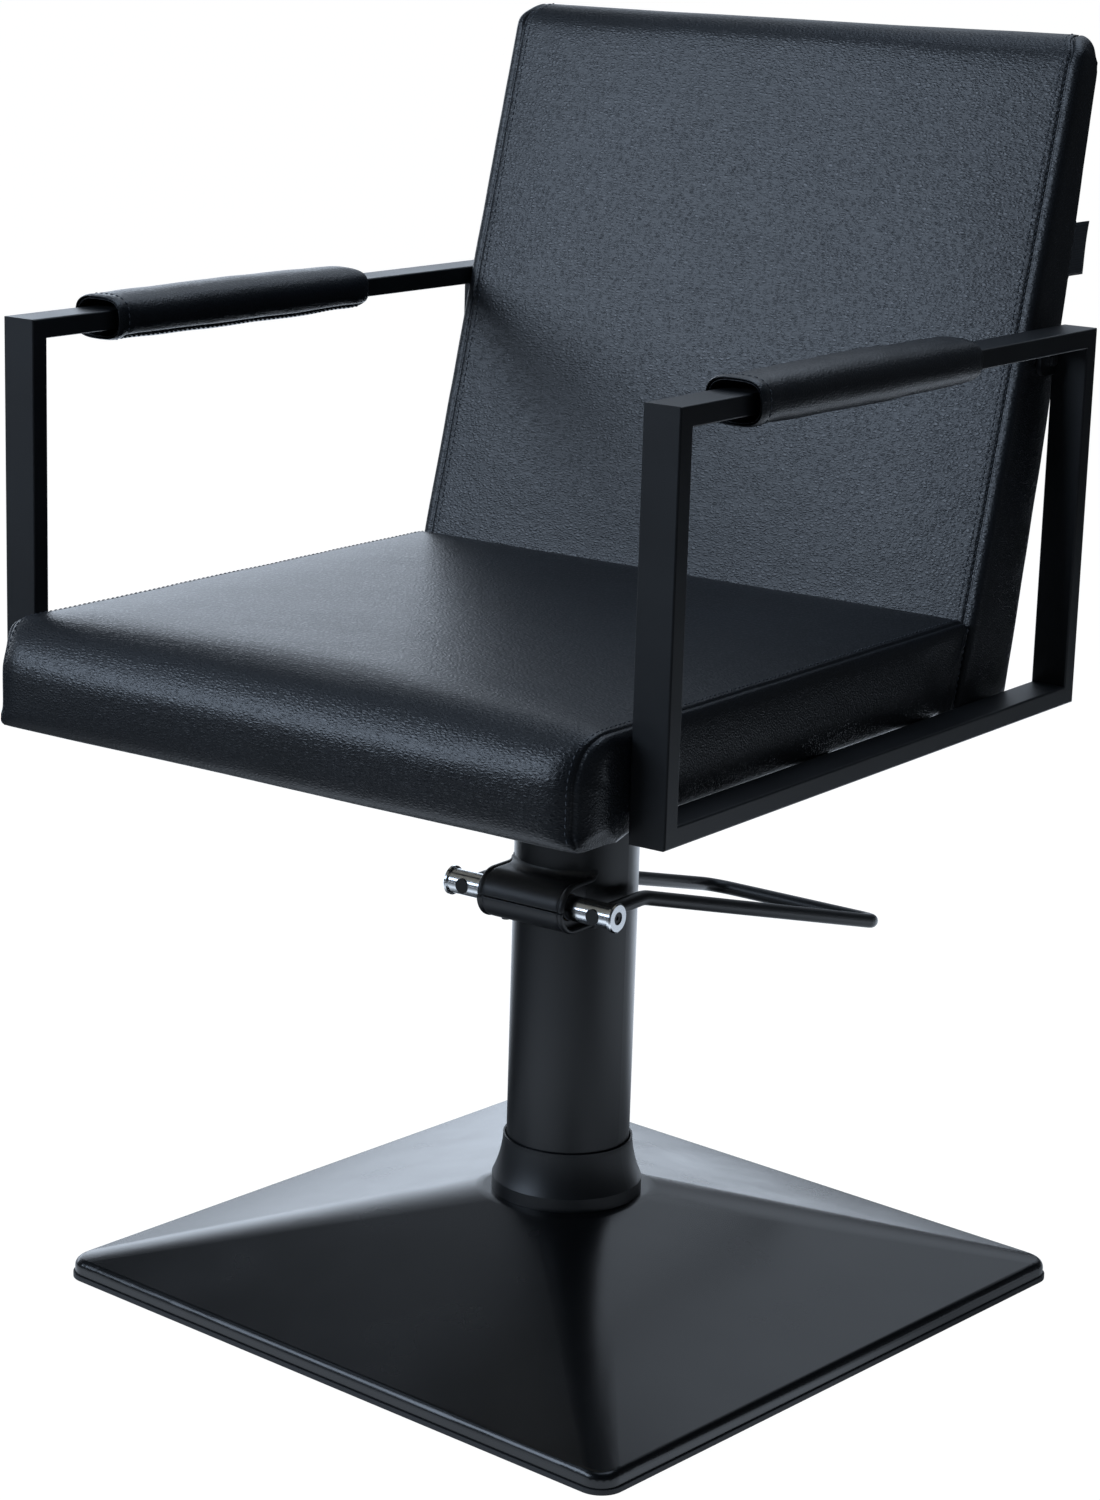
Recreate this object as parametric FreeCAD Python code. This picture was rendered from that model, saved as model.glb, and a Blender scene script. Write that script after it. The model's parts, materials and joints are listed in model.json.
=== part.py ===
import FreeCAD, Part
import math
import os

from FreeCAD import Vector

# Salon chair: a pyramid foot, a turning and lifting pump column with a foot lever behind it,
# a padded seat and back between two closed arm frames. Millimetres. +Z is up, the origin is on
# the floor under the column's axis, the sitter looks along -Y and has +X at the left hand.

# Foot
base_side = 574.0
base_corner_r = 18.0
base_turn_deg = -5.4
base_wall = 1.6
skirt_top = 15.0
skirt_roll_r = 7.0
plateau_margin = 2.0
plateau_corner_r = 44.0
plateau_roll_r = 30.0
plateau_z = 79.0
cover_lap = 4.0
rim_height = 4.0
rim_proud = 1.5
rim_width = 13.0
plate_t = 5.0
plate_gap = 0.5

# Pivot in the foot
hub_rim = 10.0
hub_t = 9.0
post_r = 24.0
post_height = 20.0
hub_bolt_room = 15.0
hub_bolt_count = 4
hub_bolt_r = 4.0
hub_bolt_bite = 4.0
thrust_ring_t = 8.0
thrust_ring_in_gap = 2.0
thrust_ring_out_gap = 3.9

# Ram, sleeve and column
column_r = 50.0
column_wall = 3.0
tube_sink = 24.0
sleeve_wall = 3.0
sleeve_reach = 99.0
foot_height = 28.0
foot_shoulder = 18.0
ram_r = 14.9
ram_socket = 6.0
ram_reach = 188.0
cylinder_wall = 6.0
cylinder_length = 299.0
gland_rim = 7.0
gland_t = 12.0
run_gap = 0.06
slide_gap = 0.1
fit_gap = 0.2

# Collar round the column
collar_spread = 8.4
collar_band = 11.0
collar_height = 46.0
collar_lip_wall = 1.4
collar_lip = 3.0
collar_gap = 1.2
collar_floor_wall = 3.0

# Pump lever
shaft_off = 7.5
shaft_drop = 148.0
shaft_r = 10.0
shaft_half = 78.0
shaft_chamfer = 0.8
end_cap_proud = 1.8
end_cap_t = 3.2
end_cap_chamfer = 1.2
rod_r = 6.0
rod_half = 63.3
rod_proud = 0.3
rod_first_run = 60.5
lever_reach = 396.5
lever_drop = 93.5
bar_half = 87.0
first_bend_r = 36.0
bar_bend_r = 20.0
end_screw_r = 3.0
end_screw_head_r = 5.0
end_screw_sunk = 1.0
end_screw_bite = 7.0
end_screw_key_r = 2.0
finger_room = 1.5
finger_half = 8.0
finger_hub_wall = 2.5
finger_t = 8.0
finger_nose_r = 5.0
lever_travel_deg = 15.0
yoke_inner = 20.0
cheek_t = 12.0
cheek_wall = 3.44
bush_wall = 2.5
lever_cover_half = 41.5
lever_cover_room = 1.0
lever_cover_wall = 2.5
lever_cover_end = 4.5
lever_cover_back = 29.0
recess_rim = 4.0
recess_depth = 3.0
split_gap = 0.4
cover_screw_r = 2.0
cover_screw_head_r = 3.6
cover_screw_head = 2.0
cover_screw_bite = 4.5

# Pump block and plunger
block_drop = 11.0
block_height = 34.0
plunger_r = 5.0
plunger_length = 30.0
plunger_head_r = 7.0
plunger_head = 3.0
plunger_gap = 0.3
plunger_bore_end = 4.0
spring_seat_gap = 1.2
spring_seat_depth = 12.0
spring_wire_r = 0.6
spring_turns = 5

# Arm frames of rectangular tube
frame_half_w = 302.0
frame_rear = 249.0
frame_depth = 580.0
frame_bottom = 490.0
frame_height = 298.0
arm_tube_w = 30.0
arm_tube_t = 15.0
arm_tube_wall = 2.0
arm_tube_edge_r = 1.5

# Seat carriers
seat_plate_half = 100.0
seat_plate_t = 6.0
seat_plate_corner_r = 15.0
seat_bolt_half = 75.0
seat_bolt_r = 4.0
seat_bolt_bite = 11.0
cross_w = 40.0
cross_t = 6.0
board_t = 15.0
board_inset = 21.5
board_overhang = 14.0
board_back_gap = 18.0
board_corner_r = 20.0
foot_screw_inset = 76.0
foot_screw_r = 2.5
foot_screw_bite = 22.0

# Seat and back upholstery
pad_gap = 0.5
pocket_gap = 0.3
seat_pad = 59.0
seat_crown = 8.0
seat_overhang = 55.0
seat_front_drop = 6.0
seat_front_r = 38.0
seat_under_r = 13.0
seat_corner_r = 32.0
seat_side_draw = 2.5
seat_edge_r = 9.0
seat_skirt_lift = 1.0
back_lean_deg = 15.2
back_foot_t = 75.0
back_top_t = 31.5
back_height = 438.0
back_top_front_r = 24.0
back_top_rear_r = 9.0
back_corner_r = 18.0
back_side_draw = 2.0
back_crown = 3.0
back_edge_r = 9.0
back_board_t = 18.0
back_board_inset = 14.0
back_board_top_gap = 36.0
back_panel_t = 11.3
tag_width = 25.0
tag_height = 41.0
tag_t = 0.8
tag_drop = 184.0

# Arm sleeves and back ties
sleeve_inset = 86.0
sleeve_length = 302.0
sleeve_side_pad = 9.5
sleeve_top_pad = 11.0
sleeve_r = 14.0
sleeve_end_draw = 2.0
sleeve_slack = 0.3
lug_t = 4.0
lug_front = 16.0
lug_room = 9.5
lug_h = 22.0
lug_round_r = 9.0
lug_bolt_r = 3.0
lug_bolt_drop = 10.0
lug_bolt_bite = 14.0

# Sizes of bolt heads as shares of the shank's radius
hex_head_share = 1.62
hex_height_share = 1.3

# Values that follow
column_bore_r = column_r - column_wall
cylinder_bore_r = ram_r + slide_gap
cylinder_r = cylinder_bore_r + cylinder_wall
gland_r = cylinder_r + gland_rim
sleeve_out_r = column_bore_r - slide_gap
sleeve_in_r = sleeve_out_r - sleeve_wall
collar_lip_r = column_r + collar_gap + collar_lip_wall
collar_foot_r = collar_lip_r + collar_spread
cover_hole_r = collar_foot_r - cover_lap
plateau_half = collar_foot_r + plateau_margin
hub_bolt_circle_r = column_r + hub_bolt_room
hub_r = hub_bolt_circle_r + hub_rim
thrust_ring_in_r = post_r + thrust_ring_in_gap
thrust_ring_out_r = sleeve_out_r - thrust_ring_out_gap
hub_top = plate_t + hub_t
foot_bottom = hub_top + thrust_ring_t + run_gap
foot_top = foot_bottom + foot_height
column_top = frame_bottom - seat_plate_t
tube_bottom = plateau_z + collar_height - tube_sink
sleeve_top = tube_bottom + sleeve_reach
cylinder_bottom = column_top - cylinder_length
ram_top = cylinder_bottom + ram_reach
shaft_y = -(column_r + shaft_off)
shaft_z = column_top - shaft_drop
bush_r = shaft_r + run_gap + bush_wall
cheek_r = bush_r + cheek_wall
lever_cover_r = cheek_r + lever_cover_room + lever_cover_wall
recess_r = lever_cover_r - recess_rim
end_cap_r = shaft_r + end_cap_proud
finger_hub_r = shaft_r + finger_hub_wall
finger_length = finger_hub_r + plunger_head_r + finger_room
block_top = shaft_z - block_drop
spring_seat_r = plunger_head_r + spring_seat_gap
frame_front = frame_rear - frame_depth
frame_top = frame_bottom + frame_height
frame_inner = frame_half_w - arm_tube_w
board_bottom = frame_bottom + cross_t
board_top = board_bottom + board_t
board_front = frame_front - board_overhang
seat_front = frame_front - seat_overhang
seat_edge_z = board_top + seat_pad
seat_half = frame_inner - pad_gap
board_half = seat_half - board_inset
back_half = frame_inner - 4 * pad_gap
back_board_half = back_half - back_board_inset
foot_screw_half = back_board_half - foot_screw_inset
back_bottom = board_bottom + seat_skirt_lift
back_top = seat_edge_z + back_height
back_tilt = math.tan(math.radians(back_lean_deg))
lug_bolt_z = frame_top - arm_tube_t - lug_bolt_drop
lug_bolt_y = frame_rear - arm_tube_t - lug_room
lug_share = (lug_bolt_z - back_bottom) / (back_top - back_bottom)
back_lug_t = back_foot_t + lug_share * (back_top_t - back_foot_t)
back_lug_y = lug_bolt_y + back_panel_t + back_board_t / 2 - back_lug_t
back_foot_y = back_lug_y - (lug_bolt_z - seat_edge_z) * back_tilt
tag_z = back_top - tag_drop
sleeve_front = frame_front + sleeve_inset
sleeve_w = arm_tube_w + 2 * sleeve_side_pad
sleeve_h = arm_tube_t + 2 * sleeve_top_pad


def ring(r_in, r_out, z0, z1):
    outer = Part.makeCylinder(r_out, z1 - z0, Vector(0, 0, z0))
    return outer.cut(Part.makeCylinder(r_in, z1 - z0, Vector(0, 0, z0)))


def rod(radius, start, end):
    axis = Vector(*end) - Vector(*start)
    return Part.makeCylinder(radius, axis.Length, Vector(*start), axis)


def block(x0, x1, y0, y1, z0, z1):
    return Part.makeBox(x1 - x0, y1 - y0, z1 - z0, Vector(x0, y0, z0))


def rounded_wire(corners, place):
    # Closed outline of straight sides and tangent arcs; each corner is (u, v, radius).
    ends = []
    count = len(corners)
    for index in range(count):
        here = Vector(corners[index][0], corners[index][1], 0)
        before = Vector(*corners[index - 1][:2], 0) - here
        after = Vector(*corners[(index + 1) % count][:2], 0) - here
        before.normalize()
        after.normalize()
        radius = corners[index][2]
        if radius <= 0:
            ends.append((here, None, here))
            continue
        half = before.getAngle(after) / 2
        reach = radius / math.tan(half)
        middle = before + after
        middle.normalize()
        bulge = radius / math.sin(half) - radius
        ends.append((here + before * reach, here + middle * bulge, here + after * reach))
    edges = []
    for index in range(count):
        start, middle, end = (place(p) if p else None for p in ends[index])
        if middle:
            edges.append(Part.Arc(start, middle, end).toShape())
        following = place(ends[(index + 1) % count][0])
        if (following - end).Length > 1e-6:
            edges.append(Part.LineSegment(end, following).toShape())
    return Part.Wire(edges)


def slab_along_x(corners, x0, x1):
    wire = rounded_wire(corners, lambda p: Vector(x0, p.x, p.y))
    return Part.Face(wire).extrude(Vector(x1 - x0, 0, 0))


def slab_along_y(corners, y0, y1):
    wire = rounded_wire(corners, lambda p: Vector(p.x, y0, p.y))
    return Part.Face(wire).extrude(Vector(0, y1 - y0, 0))


def slab_along_z(corners, z0, z1):
    wire = rounded_wire(corners, lambda p: Vector(p.x, p.y, z0))
    return Part.Face(wire).extrude(Vector(0, 0, z1 - z0))


def rectangle(half_u, half_v, radius, centre_u=0.0, centre_v=0.0):
    return [
        (centre_u - half_u, centre_v - half_v, radius),
        (centre_u + half_u, centre_v - half_v, radius),
        (centre_u + half_u, centre_v + half_v, radius),
        (centre_u - half_u, centre_v + half_v, radius),
    ]


def arc_radius(half_span, rise):
    # Radius of the shallow arc that stands "rise" above its chord.
    return (half_span ** 2 + rise ** 2) / (2 * rise)


def hex_bolt(radius, seat, direction, length):
    # Head outside the seat, shank along the direction.
    away = Vector(*direction)
    across = radius * hex_head_share
    height = radius * hex_height_share
    corners = []
    for index in range(6):
        angle = math.radians(60 * index)
        corners.append(Vector(across * math.cos(angle), across * math.sin(angle), 0))
    head = Part.Face(Part.makePolygon(corners + corners[:1])).extrude(Vector(0, 0, -height))
    shank = Part.makeCylinder(radius, length)
    bolt = head.fuse(shank)
    bolt.Placement = FreeCAD.Placement(Vector(*seat), FreeCAD.Rotation(Vector(0, 0, 1), away))
    return bolt


def turned(profile):
    # Solid of revolution about the column's axis from (radius, height) corners.
    points = [Vector(r, 0, z) for r, z in profile]
    face = Part.Face(Part.makePolygon(points + points[:1]))
    return face.revolve(Vector(0, 0, 0), Vector(0, 0, 1), 360)


def base_turned(shape):
    shape = shape.copy()
    shape.rotate(Vector(0, 0, 0), Vector(0, 0, 1), base_turn_deg)
    return shape


def pyramid(inset):
    # Skirt and sloping roof; the corners grow rounder towards the plateau.
    half = base_side / 2 - inset
    corner = base_corner_r - inset
    skirt = slab_along_z(rectangle(half, half, corner), rim_height, skirt_top - inset)
    low = rounded_wire(rectangle(half, half, corner), lambda p: Vector(p.x, p.y, skirt_top - inset))
    high = rounded_wire(
        rectangle(plateau_half, plateau_half, plateau_corner_r),
        lambda p: Vector(p.x, p.y, plateau_z - inset),
    )
    roof = Part.makeLoft([low, high], True, True)
    body = skirt.fuse(roof).removeSplitter()
    for roll_r, level in ((skirt_roll_r, skirt_top), (plateau_roll_r, plateau_z)):
        rolled = []
        for edge in body.Edges:
            box = edge.BoundBox
            if abs(box.ZMin - level + inset) < 1e-6 and box.ZLength < 1e-6:
                rolled.append(edge)
        body = body.makeFillet(roll_r - inset, rolled)
    return body


def base_cover():
    hole = Part.makeCylinder(cover_hole_r, plateau_z)
    return base_turned(pyramid(0.0).cut(pyramid(base_wall)).cut(hole))


def base_rim():
    half = base_side / 2
    outer = rectangle(half + rim_proud, half + rim_proud, base_corner_r + rim_proud)
    inner_half = half + rim_proud - rim_width
    inner = rectangle(inner_half, inner_half, base_corner_r + rim_proud - rim_width)
    strip = slab_along_z(outer, 0, rim_height).cut(slab_along_z(inner, 0, rim_height))
    return base_turned(strip)


def hub_bolt_points():
    points = []
    for index in range(hub_bolt_count):
        angle = math.radians(45 + 360 * index / hub_bolt_count)
        points.append((hub_bolt_circle_r * math.cos(angle), hub_bolt_circle_r * math.sin(angle)))
    return points


def base_plate():
    half = base_side / 2 + rim_proud - rim_width - plate_gap
    corner = base_corner_r + rim_proud - rim_width
    plate = slab_along_z(rectangle(half, half, corner), 0, plate_t)
    for x, y in hub_bolt_points():
        floor = plate_t - hub_bolt_bite - fit_gap
        plate = plate.cut(rod(hub_bolt_r + fit_gap, (x, y, floor), (x, y, plate_t)))
    return base_turned(plate)


def pivot_hub():
    hub = Part.makeCylinder(hub_r, hub_t, Vector(0, 0, plate_t))
    hub = hub.fuse(Part.makeCylinder(post_r, post_height, Vector(0, 0, hub_top))).removeSplitter()
    for x, y in hub_bolt_points():
        hub = hub.cut(rod(hub_bolt_r + fit_gap, (x, y, plate_t), (x, y, hub_top)))
    return base_turned(hub)


def hub_bolts():
    bolts = []
    for x, y in hub_bolt_points():
        bolts.append(hex_bolt(hub_bolt_r, (x, y, hub_top), (0, 0, -1), hub_t + hub_bolt_bite))
    return base_turned(Part.makeCompound(bolts))


def collar():
    top = plateau_z + collar_height
    bore = column_r + collar_gap
    band_top = plateau_z + collar_band
    lip_foot = top - collar_lip
    flare_start = Vector(collar_foot_r, 0, band_top)
    flare_end = Vector(collar_lip_r, 0, lip_foot)
    # The flare is hollowed by a sixth of its own width.
    hollow = (collar_foot_r - collar_lip_r) / 6
    flare_middle = (flare_start + flare_end) * 0.5 - Vector(hollow, 0, hollow / 3)
    inside = collar_foot_r - collar_floor_wall
    corners = [
        Vector(collar_lip_r, 0, top),
        Vector(bore, 0, top),
        Vector(bore, 0, lip_foot),
        Vector(bore, 0, band_top + collar_band),
        Vector(inside, 0, band_top),
        Vector(inside, 0, plateau_z),
        Vector(collar_foot_r, 0, plateau_z),
        flare_start,
    ]
    edges = [Part.Arc(flare_start, flare_middle, flare_end).toShape()]
    path = [flare_end] + corners
    for start, end in zip(path, path[1:]):
        edges.append(Part.LineSegment(start, end).toShape())
    return Part.Face(Part.Wire(edges)).revolve(Vector(0, 0, 0), Vector(0, 0, 1), 360)


def ram_foot():
    shoulder = foot_bottom + foot_shoulder
    cup_r = post_r + run_gap
    cup_top = hub_top + post_height + plate_gap
    return turned([
        (cup_r, foot_bottom),
        (sleeve_out_r, foot_bottom),
        (sleeve_out_r, shoulder),
        (sleeve_in_r, shoulder),
        (sleeve_in_r, foot_top),
        (ram_r, foot_top),
        (ram_r, foot_top - ram_socket),
        (0, foot_top - ram_socket),
        (0, cup_top),
        (cup_r, cup_top),
    ])


def ram_rod():
    bottom = foot_top - ram_socket
    return Part.makeCylinder(ram_r, ram_top - bottom, Vector(0, 0, bottom))


def column_tube():
    tube = ring(column_bore_r, column_r, tube_bottom, column_top)
    # A slot lets the finger in, and a groove clears the shaft and its bushes.
    room = finger_hub_r + collar_gap
    half = finger_half + collar_gap
    slot = block(-half, half, -column_r - shaft_r, 0, shaft_z - room, shaft_z + room)
    reach = yoke_inner + cheek_t
    groove = rod(bush_r + fit_gap, (-reach, shaft_y, shaft_z), (reach, shaft_y, shaft_z))
    return tube.cut(slot).cut(groove)


def finger_rest_deg():
    return lever_travel_deg / 2


def nose_bottom():
    return shaft_z + finger_length * math.sin(math.radians(finger_rest_deg())) - finger_nose_r


def plunger_y():
    return shaft_y + finger_length


def plunger_top():
    return nose_bottom() - plunger_gap


def pump_block():
    bottom = block_top - block_height
    body = ring(cylinder_r + fit_gap, column_bore_r - fit_gap, bottom, block_top)
    y = plunger_y()
    bore = rod(plunger_r + run_gap, (0, y, bottom + plunger_bore_end), (0, y, block_top))
    seat = rod(spring_seat_r, (0, y, block_top - spring_seat_depth), (0, y, block_top))
    return body.cut(bore).cut(seat)


def pump_plunger():
    y = plunger_y()
    top = plunger_top()
    stem = rod(plunger_r, (0, y, top - plunger_length), (0, y, top))
    head = rod(plunger_head_r, (0, y, top - plunger_head), (0, y, top))
    return stem.fuse(head).removeSplitter()


def plunger_spring():
    # Coil between the seat in the block and the plunger's head.
    bottom = block_top - spring_seat_depth + spring_wire_r + run_gap
    top = plunger_top() - plunger_head - spring_wire_r - run_gap
    radius = (plunger_r + spring_seat_r) / 2
    height = top - bottom
    helix = Part.makeHelix(height / spring_turns, height, radius)
    circle = Part.makeCircle(spring_wire_r, Vector(radius, 0, 0), Vector(0, 1, 0))
    coil = Part.Wire(helix.Edges).makePipeShell([Part.Wire(circle)], True, True)
    coil.translate(Vector(0, plunger_y(), bottom))
    return coil


def shaft_yoke():
    # Two cheeks welded to the front of the column, with bores for the bushes.
    cheeks = []
    for side in (-1, 1):
        near = yoke_inner if side > 0 else -yoke_inner - cheek_t
        eye = rod(cheek_r, (near, shaft_y, shaft_z), (near + cheek_t, shaft_y, shaft_z))
        web = block(near, near + cheek_t, shaft_y, 0, shaft_z - cheek_r, shaft_z + cheek_r)
        cheek = eye.fuse(web).removeSplitter()
        cheek = cheek.cut(Part.makeCylinder(column_r, column_top))
        cheek = cheek.cut(rod(bush_r, (near, shaft_y, shaft_z), (near + cheek_t, shaft_y, shaft_z)))
        x = near + cheek_t / 2
        bottom = shaft_z - cheek_r
        cheek = cheek.cut(rod(cover_screw_r + run_gap, (x, shaft_y, bottom), (x, shaft_y, shaft_z)))
        cheeks.append(cheek)
    return Part.makeCompound(cheeks)


def shaft_bushes():
    bushes = []
    for near in (yoke_inner, -yoke_inner - cheek_t):
        start = (near, shaft_y, shaft_z)
        end = (near + cheek_t, shaft_y, shaft_z)
        bushes.append(rod(bush_r, start, end).cut(rod(shaft_r + run_gap, start, end)))
    return Part.makeCompound(bushes)


def lever_cover_shape(inset, half):
    # Barrel round the shaft that runs back to the column.
    radius = lever_cover_r - inset
    barrel = rod(radius, (-half, shaft_y, shaft_z), (half, shaft_y, shaft_z))
    back = shaft_y + lever_cover_back
    body = block(-half, half, shaft_y, back, shaft_z - radius, shaft_z + radius)
    return barrel.fuse(body).removeSplitter()


def lever_cover():
    shell = lever_cover_shape(0.0, lever_cover_half)
    shell = shell.cut(lever_cover_shape(lever_cover_wall, lever_cover_half - lever_cover_end))
    shell = shell.cut(Part.makeCylinder(column_r + plate_gap, column_top))
    for side in (-1, 1):
        outer = side * lever_cover_half
        inner = outer - side * recess_depth
        shell = shell.cut(rod(recess_r, (inner, shaft_y, shaft_z), (outer, shaft_y, shaft_z)))
    way = rod(shaft_r + collar_gap, (-shaft_half, shaft_y, shaft_z), (shaft_half, shaft_y, shaft_z))
    return shell.cut(way)


def lever_cover_upper():
    room = block(-shaft_half, shaft_half, -shaft_half * 2, 0, shaft_z + split_gap / 2, column_top)
    return lever_cover().common(room)


def cover_screw_points():
    middle = yoke_inner + cheek_t / 2
    return [(-middle, shaft_y), (middle, shaft_y)]


def lever_cover_lower():
    room = block(-shaft_half, shaft_half, -shaft_half * 2, 0, tube_bottom, shaft_z - split_gap / 2)
    shell = lever_cover().common(room)
    bottom = shaft_z - lever_cover_r
    for x, y in cover_screw_points():
        shell = shell.cut(rod(cover_screw_r + fit_gap, (x, y, bottom), (x, y, bottom + lever_cover_r / 2)))
    return shell


def cover_screws():
    bottom = shaft_z - lever_cover_r
    # The screws reach from the cover's floor across the room above it into the cheeks.
    reach = lever_cover_r - cheek_r + cover_screw_bite - cover_screw_r
    screws = []
    for x, y in cover_screw_points():
        head = rod(cover_screw_head_r, (x, y, bottom - cover_screw_head), (x, y, bottom))
        shank = rod(cover_screw_r, (x, y, bottom), (x, y, bottom + reach))
        screws.append(head.fuse(shank).removeSplitter())
    return Part.makeCompound(screws)


def cross_shaft():
    shaft = rod(shaft_r, (-shaft_half, shaft_y, shaft_z), (shaft_half, shaft_y, shaft_z))
    shaft = shaft.makeChamfer(shaft_chamfer, shaft.Edges)
    for side in (-1, 1):
        x = side * rod_half
        hole = rod(rod_r + run_gap, (x, shaft_y - shaft_r * 2, shaft_z), (x, shaft_y + shaft_r * 2, shaft_z))
        tip = side * (shaft_half - end_screw_bite - plate_gap)
        end = rod(end_screw_r + run_gap, (tip, shaft_y, shaft_z), (side * shaft_half, shaft_y, shaft_z))
        shaft = shaft.cut(hole).cut(end)
    return shaft


def end_screws():
    screws = []
    for side in (-1, 1):
        face = side * (shaft_half + end_cap_t - end_screw_sunk)
        seat = side * (shaft_half + end_cap_t / 3)
        tip = side * (shaft_half - end_screw_bite)
        head = rod(end_screw_head_r, (seat, shaft_y, shaft_z), (face, shaft_y, shaft_z))
        shank = rod(end_screw_r, (tip, shaft_y, shaft_z), (seat, shaft_y, shaft_z))
        key = []
        for index in range(6):
            angle = math.radians(60 * index)
            across = Vector(0, math.cos(angle), math.sin(angle)) * end_screw_key_r
            key.append(Vector(face, shaft_y, shaft_z) + across)
        depth = Vector(seat - face, 0, 0)
        socket = Part.Face(Part.makePolygon(key + key[:1])).extrude(depth)
        screws.append(head.fuse(shank).removeSplitter().cut(socket))
    return Part.makeCompound(screws)


def end_caps():
    # Discs on the shaft's ends, sunk in the middle for the head of the screw.
    caps = []
    for side in (-1, 1):
        inner = side * shaft_half
        outer = side * (shaft_half + end_cap_t)
        seat = side * (shaft_half + end_cap_t / 3)
        cap = rod(end_cap_r, (inner, shaft_y, shaft_z), (outer, shaft_y, shaft_z))
        rims = [e for e in cap.Edges if abs(e.BoundBox.XMin - outer) < 1e-6 and e.BoundBox.XLength < 1e-6]
        cap = cap.makeChamfer(end_cap_chamfer, rims)
        cap = cap.cut(rod(end_screw_r + run_gap, (inner, shaft_y, shaft_z), (outer, shaft_y, shaft_z)))
        cap = cap.cut(rod(end_screw_head_r + fit_gap, (seat, shaft_y, shaft_z), (outer, shaft_y, shaft_z)))
        caps.append(cap)
    return Part.makeCompound(caps)


def pump_finger():
    eye = rod(finger_hub_r, (-finger_half, shaft_y, shaft_z), (finger_half, shaft_y, shaft_z))
    tip_y = shaft_y + finger_length
    arm = block(-finger_half, finger_half, shaft_y, tip_y, shaft_z - finger_t / 2, shaft_z + finger_t / 2)
    nose = rod(finger_nose_r, (-finger_half, tip_y, shaft_z), (finger_half, tip_y, shaft_z))
    finger = eye.fuse([arm, nose]).removeSplitter()
    finger = finger.cut(rod(shaft_r, (-finger_half, shaft_y, shaft_z), (finger_half, shaft_y, shaft_z)))
    finger.rotate(Vector(0, shaft_y, shaft_z), Vector(1, 0, 0), finger_rest_deg())
    return finger


def bent_path(points, radii):
    # Straight runs joined by tangent arcs; radii belong to the inner points.
    edges = []
    here = points[0]
    for index, radius in enumerate(radii, start=1):
        corner = points[index]
        back = points[index - 1] - corner
        ahead = points[index + 1] - corner
        back.normalize()
        ahead.normalize()
        half = back.getAngle(ahead) / 2
        reach = radius / math.tan(half)
        middle = back + ahead
        middle.normalize()
        start = corner + back * reach
        end = corner + ahead * reach
        edges.append(Part.LineSegment(here, start).toShape())
        edges.append(Part.Arc(start, corner + middle * (radius / math.sin(half) - radius), end).toShape())
        here = end
    edges.append(Part.LineSegment(here, points[-1]).toShape())
    return Part.Wire(edges)


def lever_rod():
    tip_y = shaft_y - shaft_r - rod_proud
    bend_y = shaft_y + rod_first_run
    bar_y = shaft_y + lever_reach
    bar_z = shaft_z - lever_drop
    half = [
        Vector(rod_half, tip_y, shaft_z),
        Vector(rod_half, bend_y, shaft_z),
        Vector(bar_half, bar_y, bar_z),
    ]
    other = [Vector(-p.x, p.y, p.z) for p in reversed(half)]
    path = bent_path(half + other, [first_bend_r, bar_bend_r, bar_bend_r, first_bend_r])
    section = Part.Wire(Part.makeCircle(rod_r, half[0], Vector(0, 1, 0)))
    return path.makePipeShell([section], True, False)


def bolt_squares():
    return [(x, y) for x in (-seat_bolt_half, seat_bolt_half) for y in (-seat_bolt_half, seat_bolt_half)]


def drilled(shape, radius, z0, z1):
    for x, y in bolt_squares():
        shape = shape.cut(rod(radius + fit_gap, (x, y, z0), (x, y, z1)))
    return shape


def seat_mount_plate():
    outline = rectangle(seat_plate_half, seat_plate_half, seat_plate_corner_r)
    plate = slab_along_z(outline, column_top, frame_bottom)
    return drilled(plate, seat_bolt_r, column_top, frame_bottom)


def seat_bolts():
    length = seat_plate_t + cross_t + seat_bolt_bite
    bolts = []
    for x, y in bolt_squares():
        bolts.append(hex_bolt(seat_bolt_r, (x, y, column_top), (0, 0, 1), length))
    return Part.makeCompound(bolts)


def cross_bar(centre_y):
    return block(
        -frame_inner, frame_inner, centre_y - cross_w / 2, centre_y + cross_w / 2, frame_bottom, board_bottom
    )


def seat_cross_bar(centre_y):
    return drilled(cross_bar(centre_y), seat_bolt_r, frame_bottom, board_bottom)


def back_board_foot_y():
    return back_rear(board_bottom) - back_panel_t - back_board_t / 2


def foot_screw_points():
    return [(-foot_screw_half, back_board_foot_y()), (foot_screw_half, back_board_foot_y())]


def back_cross_bar():
    bar = cross_bar(back_board_foot_y())
    for x, y in foot_screw_points():
        bar = bar.cut(rod(foot_screw_r + fit_gap, (x, y, frame_bottom), (x, y, board_bottom)))
    return bar


def back_foot_screws():
    screws = []
    for x, y in foot_screw_points():
        screws.append(hex_bolt(foot_screw_r, (x, y, frame_bottom), (0, 0, 1), cross_t + foot_screw_bite))
    return Part.makeCompound(screws)


def back_front(z):
    # Front of the back at its side edges; it meets the seat's top edge at back_foot_y.
    return back_foot_y + (z - seat_edge_z) * back_tilt


def back_rear(z):
    # The wedge thins evenly from the foot to the top.
    share = (z - back_bottom) / (back_top - back_bottom)
    return back_front(z) + back_foot_t + share * (back_top_t - back_foot_t)


def seat_back_y(z):
    return back_front(z) - back_crown - pad_gap


def board_rear():
    return seat_back_y(board_bottom) - board_back_gap


def seat_board_outline(gap):
    middle = (board_front + board_rear()) / 2
    half_y = (board_rear() - board_front) / 2
    return rectangle(board_half + gap, half_y + gap, board_corner_r, 0.0, middle)


def seat_board():
    board = slab_along_z(seat_board_outline(0.0), board_bottom, board_top)
    return drilled(board, seat_bolt_r, board_bottom, board_top)


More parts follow.
